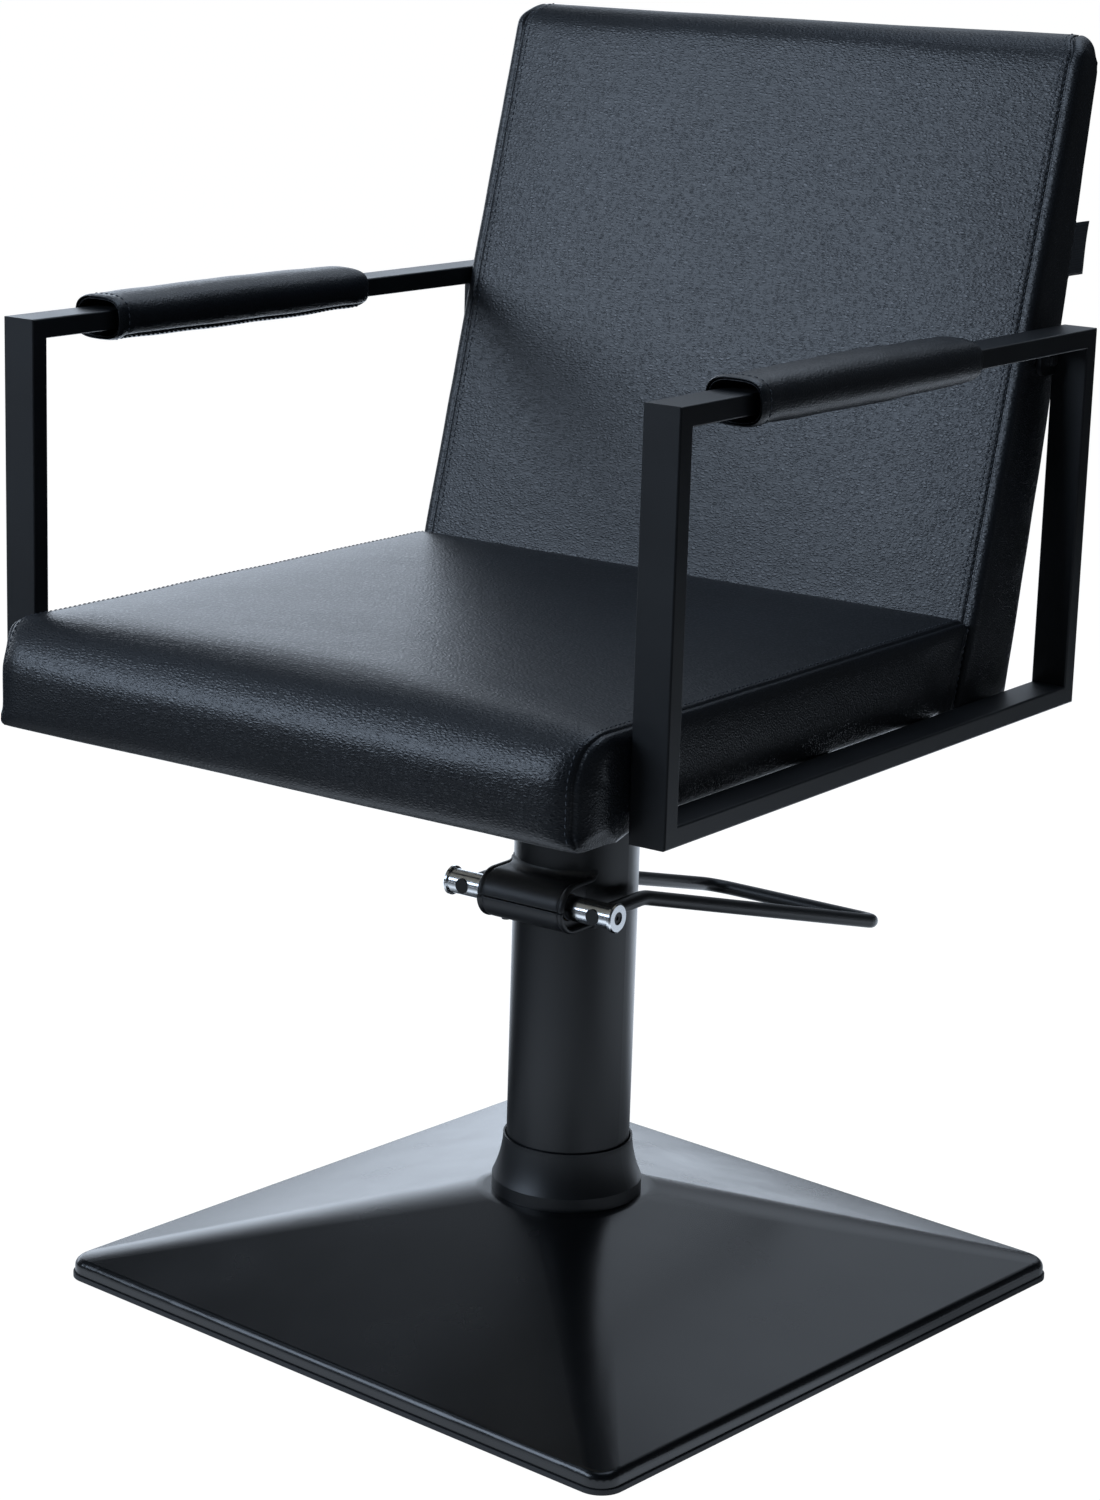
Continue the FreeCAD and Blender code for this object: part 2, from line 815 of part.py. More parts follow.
def seat_cushion():
    skirt_z = board_bottom + seat_skirt_lift
    lip_z = board_bottom - seat_front_drop
    crest = seat_edge_z + seat_crown
    lip_back = board_front - pocket_gap - 2 * pad_gap
    # Side view: waterfall front, lip below the board's front edge, rear along the leaning back.
    side = slab_along_x([
        (seat_front, lip_z, seat_under_r),
        (lip_back, lip_z, 0),
        (lip_back, skirt_z, 0),
        (seat_back_y(skirt_z), skirt_z, 0),
        (seat_back_y(crest), crest, 0),
        (seat_front, crest, seat_front_r),
    ], -frame_half_w, frame_half_w)
    # Front view: crowned top and sides that swell a little between top and bottom.
    waist = (seat_edge_z + lip_z) / 2
    swell = seat_side_draw
    crown_half = seat_half - seat_edge_r
    crown_r = arc_radius(crown_half, seat_crown) * 0.97
    front = slab_along_y([
        (-seat_half + swell, lip_z, 0),
        (seat_half - swell, lip_z, 0),
        (seat_half, waist, seat_front_r),
        (seat_half - swell, seat_edge_z, seat_edge_r),
        (0, crest + seat_crown, crown_r),
        (-seat_half + swell, seat_edge_z, seat_edge_r),
        (-seat_half, waist, seat_front_r),
    ], seat_front - seat_pad, frame_rear)
    # Plan: rounded front corners, sides drawn in between front and rear.
    rear = seat_back_y(crest) + back_crown
    middle = (seat_front + rear) / 2
    side_r = arc_radius((rear - seat_front) / 2, seat_side_draw) * 0.45
    plan = slab_along_z([
        (-seat_half, seat_front, seat_corner_r),
        (seat_half, seat_front, seat_corner_r),
        (seat_half - seat_side_draw, middle, side_r),
        (seat_half, rear, 0),
        (-seat_half, rear, 0),
        (-seat_half + seat_side_draw, middle, side_r),
    ], lip_z - seat_pad, crest + seat_pad)
    pad = side.common(front).common(plan)
    return pad.cut(slab_along_z(seat_board_outline(pocket_gap), lip_z, board_top + pocket_gap))


def back_slice(y_in, y_out, half, z0, z1):
    # Leaning slab between two depths measured forward from the rear face.
    corners = [
        (back_rear(z0) - y_in, z0, 0),
        (back_rear(z1) - y_in, z1, 0),
        (back_rear(z1) - y_out, z1, 0),
        (back_rear(z0) - y_out, z0, 0),
    ]
    return slab_along_x(corners, -half, half)


def back_board_top():
    return back_top - back_board_top_gap


def lug_bolt_holes(shape):
    for side in (-1, 1):
        inner = (side * (back_board_half - lug_bolt_bite - pad_gap), lug_bolt_y, lug_bolt_z)
        outer = (side * frame_half_w, lug_bolt_y, lug_bolt_z)
        shape = shape.cut(rod(lug_bolt_r + fit_gap, inner, outer))
    return shape


def back_board():
    depth = back_panel_t + back_board_t
    board = back_slice(back_panel_t, depth, back_board_half, board_bottom, back_board_top())
    end = board_bottom + foot_screw_bite + pad_gap
    for x, y in foot_screw_points():
        board = board.cut(rod(foot_screw_r + run_gap, (x, y, board_bottom), (x, y, end)))
    return lug_bolt_holes(board)


def back_rear_panel():
    return back_slice(0.0, back_panel_t, back_board_half, back_bottom, back_board_top())


def back_cushion():
    # Side view: a wedge that thins upwards, with a rounded top.
    side = slab_along_x([
        (back_front(back_bottom) - back_crown, back_bottom, back_top_rear_r),
        (back_rear(back_bottom), back_bottom, 0),
        (back_rear(back_top), back_top, back_top_rear_r),
        (back_front(back_top) - back_crown, back_top, back_top_front_r),
    ], -frame_half_w, frame_half_w)
    # Front view: rounded top corners and sides drawn in between seat and top.
    middle = (back_bottom + back_top) / 2
    side_r = arc_radius((back_top - back_bottom) / 2, back_side_draw) * 0.45
    front = slab_along_y([
        (-back_half, back_bottom, 0),
        (back_half, back_bottom, 0),
        (back_half - back_side_draw, middle, side_r),
        (back_half, back_top, back_corner_r),
        (-back_half, back_top, back_corner_r),
        (-back_half + back_side_draw, middle, side_r),
    ], back_front(back_bottom) - back_foot_t, back_rear(back_top) + back_foot_t)
    # Plan, drawn along the lean: crowned front with rounded edges.
    low = back_bottom
    rise = Vector(0, back_front(back_top) - back_front(low), back_top - low)
    face_y = back_front(low)
    deep = face_y + 2 * back_foot_t
    crown_r = arc_radius(back_half - back_edge_r, back_crown) * 0.9
    plan = rounded_wire([
        (-back_half, face_y, back_edge_r),
        (0, face_y - 2 * back_crown, crown_r),
        (back_half, face_y, back_edge_r),
        (back_half, deep, 0),
        (-back_half, deep, 0),
    ], lambda p: Vector(p.x, p.y, low))
    crown = Part.Face(plan).extrude(rise)
    pad = side.common(crown).common(front)
    depth = back_panel_t + back_board_t + pocket_gap
    top = back_board_top() + pocket_gap
    pocket = back_slice(-back_foot_t, depth, back_board_half + pocket_gap, back_bottom, top)
    return lug_bolt_holes(pad.cut(pocket))


def arm_frame(side):
    # Closed loop of hollow tube, cut at the mitres into its four bars.
    x0 = frame_inner if side > 0 else -frame_half_w
    x1 = x0 + arm_tube_w
    centre_y = (frame_front + frame_rear) / 2
    centre_z = (frame_bottom + frame_top) / 2

    def loop_block(inset_out, inset_in, inset_x):
        outer = rectangle(frame_depth / 2 - inset_out, frame_height / 2 - inset_out, 0, centre_y, centre_z)
        inner = rectangle(frame_depth / 2 - inset_in, frame_height / 2 - inset_in, 0, centre_y, centre_z)
        solid = slab_along_x(outer, x0 + inset_x, x1 - inset_x)
        return solid.cut(slab_along_x(inner, x0 + inset_x, x1 - inset_x))

    loop = loop_block(0.0, arm_tube_t, 0.0)
    edges = []
    for edge in loop.Edges:
        box = edge.BoundBox
        if box.XLength < 1e-6:
            edges.append(edge)
    loop = loop.makeFillet(arm_tube_edge_r, edges)
    loop = loop.cut(loop_block(arm_tube_wall, arm_tube_t - arm_tube_wall, arm_tube_wall))
    corners = {
        "front_low": (frame_front, frame_bottom, 1, 1),
        "rear_low": (frame_rear, frame_bottom, -1, 1),
        "rear_high": (frame_rear, frame_top, -1, -1),
        "front_high": (frame_front, frame_top, 1, -1),
    }
    bars = {}
    for name, first, second in (
        ("bottom_bar", "front_low", "rear_low"),
        ("rear_post", "rear_low", "rear_high"),
        ("top_bar", "rear_high", "front_high"),
        ("front_post", "front_high", "front_low"),
    ):
        mitre = []
        for key, deep in ((first, False), (second, False), (second, True), (first, True)):
            y, z, dy, dz = corners[key]
            step = arm_tube_t if deep else 0.0
            mitre.append((y + dy * step, z + dz * step, 0))
        bars[name] = loop.common(slab_along_x(mitre, x0, x1))
    return bars


def arm_sleeve(side):
    x = side * (frame_half_w - arm_tube_w / 2)
    z = frame_top - arm_tube_t / 2
    wires = []
    for share, draw in ((0.0, sleeve_end_draw), (0.5, 0.0), (1.0, sleeve_end_draw)):
        y = sleeve_front + share * sleeve_length
        section = rectangle(sleeve_w / 2 - draw, sleeve_h / 2 - draw, sleeve_r, x, z)
        wires.append(rounded_wire(section, lambda p, y=y: Vector(p.x, y, p.y)))
    pad = Part.makeLoft(wires, True, False)
    half_w = arm_tube_w / 2 + sleeve_slack
    half_t = arm_tube_t / 2 + sleeve_slack
    end = sleeve_front + sleeve_length
    return pad.cut(block(x - half_w, x + half_w, sleeve_front, end, z - half_t, z + half_t))


def back_lugs():
    lugs = []
    top = frame_top - arm_tube_t
    front = lug_bolt_y - lug_front
    rear = frame_rear - arm_tube_t
    for side in (-1, 1):
        x0 = frame_inner if side > 0 else -frame_inner - lug_t
        corners = [
            (front, top, 0),
            (front, top - lug_h, lug_round_r),
            (rear, top - lug_h, lug_t / 2),
            (rear, top, 0),
        ]
        lugs.append(slab_along_x(corners, x0, x0 + lug_t))
    return lug_bolt_holes(Part.makeCompound(lugs))


def back_bolts():
    bolts = []
    length = frame_inner + lug_t - back_board_half + lug_bolt_bite
    for side in (-1, 1):
        seat = (side * (frame_inner + lug_t), lug_bolt_y, lug_bolt_z)
        bolts.append(hex_bolt(lug_bolt_r, seat, (-side, 0, 0), length))
    return Part.makeCompound(bolts)


def label_tag():
    # Bare woven tag that stands out of the rear seam at the sitter's left.
    low = tag_z
    high = tag_z + tag_height
    corners = [
        (back_rear(low) + run_gap, low, 0),
        (back_rear(low) + tag_width, low, 0),
        (back_rear(high) + tag_width, high, 0),
        (back_rear(high) + run_gap, high, 0),
    ]
    outer = back_half - back_side_draw - pad_gap
    return slab_along_x(corners, outer - tag_t, outer)


def build():
    nodes = {
        "base_cover": base_cover(),
        "base_rim": base_rim(),
        "base_plate": base_plate(),
        "pivot_hub": pivot_hub(),
        "hub_bolts": hub_bolts(),
        "thrust_ring": ring(thrust_ring_in_r, thrust_ring_out_r, hub_top, hub_top + thrust_ring_t),
        "collar": collar(),
        "ram_foot": ram_foot(),
        "ram_rod": ram_rod(),
        "guide_sleeve": ring(sleeve_in_r, sleeve_out_r, foot_bottom + foot_shoulder, sleeve_top),
        "column_tube": column_tube(),
        "pump_cylinder": ring(cylinder_bore_r, cylinder_r, cylinder_bottom, column_top),
        "cylinder_gland": ring(ram_r + run_gap, gland_r, cylinder_bottom - gland_t, cylinder_bottom),
        "pump_block": pump_block(),
        "pump_plunger": pump_plunger(),
        "plunger_spring": plunger_spring(),
        "shaft_yoke": shaft_yoke(),
        "shaft_bushes": shaft_bushes(),
        "lever_cover_upper": lever_cover_upper(),
        "lever_cover_lower": lever_cover_lower(),
        "cover_screws": cover_screws(),
        "cross_shaft": cross_shaft(),
        "shaft_end_caps": end_caps(),
        "shaft_end_screws": end_screws(),
        "pump_finger": pump_finger(),
        "lever_rod": lever_rod(),
        "seat_mount_plate": seat_mount_plate(),
        "seat_bolts": seat_bolts(),
        "cross_bar_front": seat_cross_bar(-seat_bolt_half),
        "cross_bar_rear": seat_cross_bar(seat_bolt_half),
        "cross_bar_back": back_cross_bar(),
        "back_foot_screws": back_foot_screws(),
        "seat_board": seat_board(),
        "seat_cushion": seat_cushion(),
        "back_board": back_board(),
        "back_cushion": back_cushion(),
        "back_rear_panel": back_rear_panel(),
        "back_lugs": back_lugs(),
        "back_bolts": back_bolts(),
        "label_tag": label_tag(),
    }
    for side, hand in ((1, "left"), (-1, "right")):
        for name, bar in arm_frame(side).items():
            nodes[f"{hand}_arm_{name}"] = bar
        nodes[f"{hand}_arm_sleeve"] = arm_sleeve(side)
    return nodes


os.makedirs("parts", exist_ok=True)
for node, shape in build().items():
    shape.exportStep(f"parts/{node}.step")
    print(node, len(shape.Solids), round(shape.Volume / 1000, 2), "cm3", shape.isValid())
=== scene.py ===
import json
import math

import bmesh
import bpy
import numpy as np
from mathutils import Matrix, Vector, noise
from mathutils.bvhtree import BVHTree


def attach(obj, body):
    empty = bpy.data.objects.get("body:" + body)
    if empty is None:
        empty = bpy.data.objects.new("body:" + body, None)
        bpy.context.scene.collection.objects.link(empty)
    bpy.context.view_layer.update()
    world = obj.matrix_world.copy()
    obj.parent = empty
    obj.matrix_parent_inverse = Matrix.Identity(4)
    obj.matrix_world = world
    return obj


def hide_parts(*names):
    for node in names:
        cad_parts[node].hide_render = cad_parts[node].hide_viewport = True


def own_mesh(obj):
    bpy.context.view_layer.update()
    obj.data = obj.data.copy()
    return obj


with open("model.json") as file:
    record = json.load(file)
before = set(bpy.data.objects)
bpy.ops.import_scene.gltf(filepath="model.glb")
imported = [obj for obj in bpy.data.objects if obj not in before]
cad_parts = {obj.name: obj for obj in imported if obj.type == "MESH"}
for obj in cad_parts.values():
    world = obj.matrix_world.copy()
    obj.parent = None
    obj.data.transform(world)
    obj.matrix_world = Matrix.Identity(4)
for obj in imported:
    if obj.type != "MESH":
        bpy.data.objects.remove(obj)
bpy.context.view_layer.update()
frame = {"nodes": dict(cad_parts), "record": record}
nodes = frame["nodes"]
scene = bpy.context.scene
mm = 0.001
print("frame loaded:", len(nodes), "nodes")


# colours and nodes
def hexLinear(text):
    parts = [int(text[i:i + 2], 16) / 255 for i in (1, 3, 5)]
    return tuple(c / 12.92 if c <= 0.04045 else ((c + 0.055) / 1.055) ** 2.4 for c in parts) + (1.0,)


def grey(value):
    return (value, value, value, 1.0)


def addNode(tree, kind, settings=None, values=None, links=None, feeds=None):
    # links come into the node, feeds go on from its outputs
    node = tree.nodes.new(kind)
    for key, value in (settings or {}).items():
        setattr(node, key, value)
    for key, value in (values or {}).items():
        node.inputs[key].default_value = value
    for key, socket in (links or {}).items():
        tree.links.new(socket, node.inputs[key])
    for key, socket in (feeds or {}).items():
        tree.links.new(node.outputs[key], socket)
    return node


def newMaterial(name, values):
    material = bpy.data.materials.new(name)
    material.use_nodes = True
    tree = material.node_tree
    shader = next(n for n in tree.nodes if n.type == "BSDF_PRINCIPLED")
    for key, value in values.items():
        shader.inputs[key].default_value = value
    return material, tree, shader


def setRamp(ramp, stops):
    elements = ramp.color_ramp.elements
    while len(elements) > 1:
        elements.remove(elements[-1])
    elements[0].position, elements[0].color = stops[0]
    for place, colour in stops[1:]:
        elements.new(place).color = colour


# meshes, with shapes in millimetres
weldSteps = 50        # points within 1/50 mm are one


def weldKeys(points):
    return np.round(points * weldSteps).astype(np.int64)


def meshFromGrids(name, grids, loops=()):
    # grids of points and closed loops, welded where their borders meet
    points = np.concatenate([g.reshape(-1, 3) for g in grids] + [np.asarray(p) for p in loops])
    _, first, inverse = np.unique(weldKeys(points), axis=0, return_index=True, return_inverse=True)
    inverse = inverse.reshape(-1)
    faces = []
    start = 0
    for g in grids:
        rows, cols = g.shape[:2]
        index = inverse[start:start + rows * cols].reshape(rows, cols)
        start += rows * cols
        for r in range(rows - 1):
            for c in range(cols - 1):
                loop = [index[r, c], index[r, c + 1], index[r + 1, c + 1], index[r + 1, c]]
                face = [v for i, v in enumerate(loop) if v != loop[i - 1]]
                if len(set(face)) >= 3:
                    faces.append(face)
    for loop in loops:
        index = inverse[start:start + len(loop)]
        start += len(loop)
        faces.append([v for i, v in enumerate(index) if v != index[i - 1]])
    mesh = bpy.data.meshes.new(name)
    mesh.from_pydata((points[first] * mm).tolist(), [], [[int(v) for v in f] for f in faces])
    return mesh


def closeMesh(mesh):
    # closes the open border loops with triangles and turns the faces outwards
    bm = bmesh.new()
    bm.from_mesh(mesh)
    bmesh.ops.holes_fill(bm, edges=[e for e in bm.edges if e.is_boundary], sides=0)
    bmesh.ops.triangulate(bm, faces=[f for f in bm.faces if len(f.verts) > 4], ngon_method="EAR_CLIP")
    bmesh.ops.recalc_face_normals(bm, faces=bm.faces)
    if bm.calc_volume(signed=True) < 0:
        bmesh.ops.reverse_faces(bm, faces=bm.faces)
    bm.to_mesh(mesh)
    bm.free()


def turnOutward(mesh, middle):
    # faces of an open cover look away from a point inside it
    bm = bmesh.new()
    bm.from_mesh(mesh)
    bmesh.ops.recalc_face_normals(bm, faces=bm.faces)
    middle = Vector(middle) * mm
    if sum(f.normal.dot(f.calc_center_median() - middle) * f.calc_area() for f in bm.faces) < 0:
        bmesh.ops.reverse_faces(bm, faces=bm.faces)
    bm.to_mesh(mesh)
    bm.free()


def addObject(mesh, material, smooth=True):
    piece = bpy.data.objects.new(mesh.name, mesh)
    scene.collection.objects.link(piece)
    mesh.materials.clear()
    mesh.materials.append(material)
    for polygon in mesh.polygons:
        polygon.use_smooth = smooth
    return piece


def meshArray(mesh, field="co"):
    values = np.empty(len(mesh.vertices) * 3)
    mesh.vertices.foreach_get(field, values)
    return values.reshape(-1, 3)


def setCo(mesh, co):
    mesh.vertices.foreach_set("co", np.ascontiguousarray(co).reshape(-1))
    mesh.update()


def bake(piece):
    # modifiers into the mesh
    graph = bpy.context.evaluated_depsgraph_get()
    mesh = bpy.data.meshes.new_from_object(piece.evaluated_get(graph))
    mesh.name = piece.data.name
    piece.modifiers.clear()
    piece.data = mesh


def subdivide(piece, levels):
    finer = piece.modifiers.new("finer", "SUBSURF")
    finer.levels = levels
    finer.render_levels = levels
    finer.boundary_smooth = "PRESERVE_CORNERS"
    bake(piece)


def giveWall(piece, thickness):
    # a wall inwards from the faces
    wall = piece.modifiers.new("wall", "SOLIDIFY")
    wall.thickness = thickness * mm
    wall.offset = -1
    bake(piece)


def pinWeights(mesh, lines):
    # 1 on the sewn lines and hidden borders
    keys = {tuple(k) for points in lines for k in weldKeys(points).tolist()}
    here = weldKeys(meshArray(mesh) * 1000).tolist()
    return np.array([1.0 if tuple(k) in keys else 0.0 for k in here])


def inflate(piece, pins, spec, cap):
    # the cover is blown up on its sewn lines; no point moves further than its cap
    cap = np.broadcast_to(np.asarray(cap * mm, float).reshape(-1, 1), (len(piece.data.vertices), 1))
    rest = meshArray(piece.data)
    group = piece.vertex_groups.new(name="sewn")
    for index, weight in enumerate(pins):
        if weight > 0:
            group.add([index], float(weight), "REPLACE")
    steps = 20
    cloth = piece.modifiers.new("cover", "CLOTH")
    settings = cloth.settings
    settings.quality = 6
    settings.mass = 0.3
    settings.tension_stiffness = spec["stiffness"]
    settings.compression_stiffness = spec["stiffness"]
    settings.shear_stiffness = spec["stiffness"]
    settings.bending_stiffness = spec["stiffness"] * 0.4
    settings.air_damping = 3.0
    settings.use_pressure = True
    settings.uniform_pressure_force = spec["pressure"]
    settings.vertex_group_mass = "sewn"
    settings.effector_weights.gravity = 0
    cloth.collision_settings.use_collision = False
    cloth.point_cache.frame_start = 1
    cloth.point_cache.frame_end = steps
    for step in range(1, steps + 1):
        scene.frame_set(step)
    graph = bpy.context.evaluated_depsgraph_get()
    blown = meshArray(bpy.data.meshes.new_from_object(piece.evaluated_get(graph)))
    piece.modifiers.clear()
    piece.vertex_groups.clear()
    scene.frame_set(1)
    move = blown - rest
    far = np.linalg.norm(move, axis=1, keepdims=True)
    move *= np.where(far > 1e-9, np.tanh(far / cap) * cap / np.maximum(far, 1e-9), 0)
    setCo(piece.data, rest + move)
    print("  inflated", piece.name, "by up to", round(float(far.max()) * 1000, 1), "mm before the cap")


def keepInside(piece, room):
    # points further out than the room at either side come back to it
    co = meshArray(piece.data)
    over = np.abs(co[:, 0]) * 1000 - room
    co[:, 0] -= np.sign(co[:, 0]) * np.clip(over, 0, None) * mm
    setCo(piece.data, co)


def softNoise(co, size, seed):
    # smooth wander between -1 and 1, features about "size" long
    shift = Vector((seed * 7.3, seed * 3.1, seed * 5.7))
    return np.array([noise.noise(Vector(p) + shift) for p in co / np.array(size)])


def addWander(piece, waves, amount=1.0):
    # the padding's soft unevenness: waves with their length in metres, seed and height in millimetres
    co = meshArray(piece.data)
    wander = sum(softNoise(co, size, seed) * height for size, seed, height in waves)
    setCo(piece.data, co + meshArray(piece.data, "normal") * (wander * amount * mm)[:, None])


def pathDistance(co, path):
    # distance of each point to a polyline, in metres
    best = np.full(len(co), 1e9)
    for a, b in zip(path, path[1:]):
        run = b - a
        t = np.clip(((co - a) @ run) / max(float(run @ run), 1e-12), 0, 1)
        best = np.minimum(best, np.linalg.norm(co - a - t[:, None] * run, axis=1))
    return best


def onSurface(piece, path, lift=0.0):
    # the nearest places on the finished cover, in metres
    mesh = piece.data
    tree = BVHTree.FromPolygons([v.co for v in mesh.vertices], [p.vertices[:] for p in mesh.polygons])
    places = []
    for point in path * mm:
        place, normal, _, _ = tree.find_nearest(Vector(point))
        places.append(place + normal * lift * mm)
    return np.array(places)


def carve(piece, seam, depth, width):
    # draws the cover in along a sewn line that lies on it
    depth, width = depth * mm, width * mm
    co = meshArray(piece.data)
    low, high = seam.min(0) - 4 * width, seam.max(0) + 4 * width
    near = np.where(((co > low) & (co < high)).all(1))[0]
    sink = depth * np.exp(-(pathDistance(co[near], seam) / width) ** 2)
    co[near] -= meshArray(piece.data, "normal")[near] * sink[:, None]
    setCo(piece.data, co)


# materials
def objectCoords(tree, scale=(1, 1, 1), turn=(0, 0, 0)):
    coords = addNode(tree, "ShaderNodeTexCoord")
    mapping = addNode(tree, "ShaderNodeMapping", values={"Scale": scale, "Rotation": turn},
                      links={"Vector": coords.outputs["Object"]})
    return mapping.outputs["Vector"]


def dressShader(tree, shader, tone, colours, gloss=None, relief=None):
    # colour from a tone, roughness and relief from patterns, each with its range or its strength and depth
    tint = addNode(tree, "ShaderNodeValToRGB", links={"Fac": tone},
                   feeds={"Color": shader.inputs["Base Color"]})
    setRamp(tint, [(place, hexLinear(colour)) for place, colour in colours])
    if gloss:
        pattern, low, high = gloss
        addNode(tree, "ShaderNodeMapRange", values={"To Min": low, "To Max": high},
                links={"Value": pattern}, feeds={"Result": shader.inputs["Roughness"]})
    if relief:
        pattern, strength, depth = relief
        addNode(tree, "ShaderNodeBump", values={"Strength": strength, "Distance": depth * mm},
                links={"Height": pattern}, feeds={"Normal": shader.inputs["Normal"]})


leatherette = {
    "colour": "#0c0f13", "colourWorn": "#11151a", "roughness": 0.34,
    "grainSize": 2.1,          # mm; the real pebble is about 1.2 mm, drawn coarser so that it shows
    "grainStretch": 2.0,       # pebbles lie across the panel
    "grainBend": 0.7,          # how far their borders wander
    "grainEdge": 0.42,         # share of a pebble that rounds down to its border
    "grainHeight": 0.65,       # against the creases
    "creaseSize": 3.6, "creaseStretch": 3.4,
    "relief": 0.42, "reliefDepth": 0.6, "tonesPerMetre": 9.0,
}


def makeLeatherette(name, turn=(0, 0, 0)):
    # vinyl-coated fabric with an embossed pebble: near black, soft wide highlights broken by fine creases
    spec = leatherette
    material, tree, shader = newMaterial(name, {"IOR": 1.5})
    grain = 1000 / spec["grainSize"]
    place = objectCoords(tree, (grain / spec["grainStretch"], grain, grain), turn)
    wander = addNode(tree, "ShaderNodeTexNoise", values={"Scale": 0.55, "Detail": 3.0, "Distortion": 0.3},
                     links={"Vector": place})
    bent = addNode(tree, "ShaderNodeVectorMath", {"operation": "MULTIPLY_ADD"}, {1: (spec["grainBend"],) * 3},
                   {0: wander.outputs["Color"], 2: place})
    pebble = addNode(tree, "ShaderNodeTexVoronoi", {"feature": "DISTANCE_TO_EDGE"},
                     {"Scale": 1.0, "Randomness": 1.0}, {"Vector": bent.outputs[0]})
    dome = addNode(tree, "ShaderNodeMapRange", {"interpolation_type": "SMOOTHSTEP"},
                   {"From Min": 0.0, "From Max": spec["grainEdge"]}, {"Value": pebble.outputs["Distance"]})
    fine = 1000 / spec["creaseSize"]
    crease = addNode(tree, "ShaderNodeTexNoise",
                     values={"Scale": 1.0, "Detail": 2.0, "Roughness": 0.5, "Distortion": 0.15},
                     links={"Vector": objectCoords(tree, (fine / spec["creaseStretch"], fine, fine), turn)})
    height = addNode(tree, "ShaderNodeMath", {"operation": "MULTIPLY_ADD"}, {1: spec["grainHeight"]},
                     {0: dome.outputs["Result"], 2: crease.outputs["Fac"]})
    tone = addNode(tree, "ShaderNodeTexNoise", values={"Scale": spec["tonesPerMetre"], "Detail": 2.0},
                   links={"Vector": objectCoords(tree)})
    dressShader(tree, shader, tone.outputs["Fac"], [(0.3, spec["colour"]), (0.75, spec["colourWorn"])],
                (dome.outputs["Result"], spec["roughness"] + 0.07, spec["roughness"] - 0.03),
                (height.outputs[0], spec["relief"], spec["reliefDepth"]))
    return material


def makePaint(name, colour, worn, roughness, grit, relief):
    # powder-coated steel: a fine orange-peel skin that softens every reflection, with clouds 70 mm wide
    material, tree, shader = newMaterial(name, {})
    peel = addNode(tree, "ShaderNodeTexNoise", values={"Scale": 1.0, "Detail": 2.5, "Roughness": 0.6},
                   links={"Vector": objectCoords(tree, (1000 / grit,) * 3)})
    cloud = addNode(tree, "ShaderNodeTexNoise", values={"Scale": 14.0, "Detail": 4.0},
                    links={"Vector": objectCoords(tree)})
    dressShader(tree, shader, cloud.outputs["Fac"], [(0.35, colour), (0.7, worn)],
                (cloud.outputs["Fac"], roughness - 0.05, roughness + 0.06),
                (peel.outputs["Fac"], relief, 0.3))
    return material


def makeMetal(name, colour, dark, roughness, lineSize, along):
    # bare metal with the fine lines of its turning or drawing, which run along one axis
    material, tree, shader = newMaterial(name, {"Metallic": 1.0})
    scale = [1000 / lineSize] * 3
    scale["xyz".index(along)] = 12.0        # a line is about 80 mm long
    lines = addNode(tree, "ShaderNodeTexNoise", values={"Scale": 1.0, "Detail": 3.0},
                    links={"Vector": objectCoords(tree, tuple(scale))}).outputs["Fac"]
    dressShader(tree, shader, lines, [(0.3, dark), (0.7, colour)],
                (lines, roughness * 0.7, roughness * 1.4), (lines, 0.05, 0.2))
    return material


def makePlastic(name, colour, light, roughness, grit):
    # moulded plastic with a spark-eroded matt skin
    material, tree, shader = newMaterial(name, {"IOR": 1.5})
    skin = addNode(tree, "ShaderNodeTexNoise", values={"Scale": 1.0, "Detail": 3.0, "Roughness": 0.7},
                   links={"Vector": objectCoords(tree, (1000 / grit,) * 3)}).outputs["Fac"]
    dressShader(tree, shader, skin, [(0.3, colour), (0.72, light)],
                (skin, roughness - 0.04, roughness + 0.06), (skin, 0.16, 0.3))
    return material


def makePlywood():
    # bare pale birch plywood: plies of turning tone, 6 mm a pair, seen at the edges, with long 4 mm grain
    material, tree, shader = newMaterial("birchPlywood", {"Roughness": 0.62})
    grain = addNode(tree, "ShaderNodeTexNoise", values={"Scale": 1.0, "Detail": 5.0, "Distortion": 0.6},
                    links={"Vector": objectCoords(tree, (260.0, 18.0, 260.0))})
    plies = addNode(tree, "ShaderNodeTexWave", {"bands_direction": "Z"}, {"Scale": 52.0, "Distortion": 0.6},
                    {"Vector": objectCoords(tree)})
    mixed = addNode(tree, "ShaderNodeMath", {"operation": "MULTIPLY_ADD"}, {1: 0.45},
                    {0: plies.outputs["Fac"], 2: grain.outputs["Fac"]})
    dressShader(tree, shader, mixed.outputs[0], [(0.3, "#a4927a"), (0.62, "#cbbda6"), (0.95, "#dcd1bf")],
                relief=(grain.outputs["Fac"], 0.2, 0.4))
    return material


def makeThread():
    # bonded polyester sewing thread: a dull twist, 0.7 mm a turn, that catches a little light
    material, tree, shader = newMaterial("sewingThread", {"Roughness": 0.6})
    twist = addNode(tree, "ShaderNodeTexWave", {"bands_direction": "DIAGONAL"},
                    {"Scale": 520.0, "Distortion": 0.5}, {"Vector": objectCoords(tree)})
    dressShader(tree, shader, twist.outputs["Fac"], [(0.2, "#1c1f24"), (0.8, "#3f444b")])
    return material


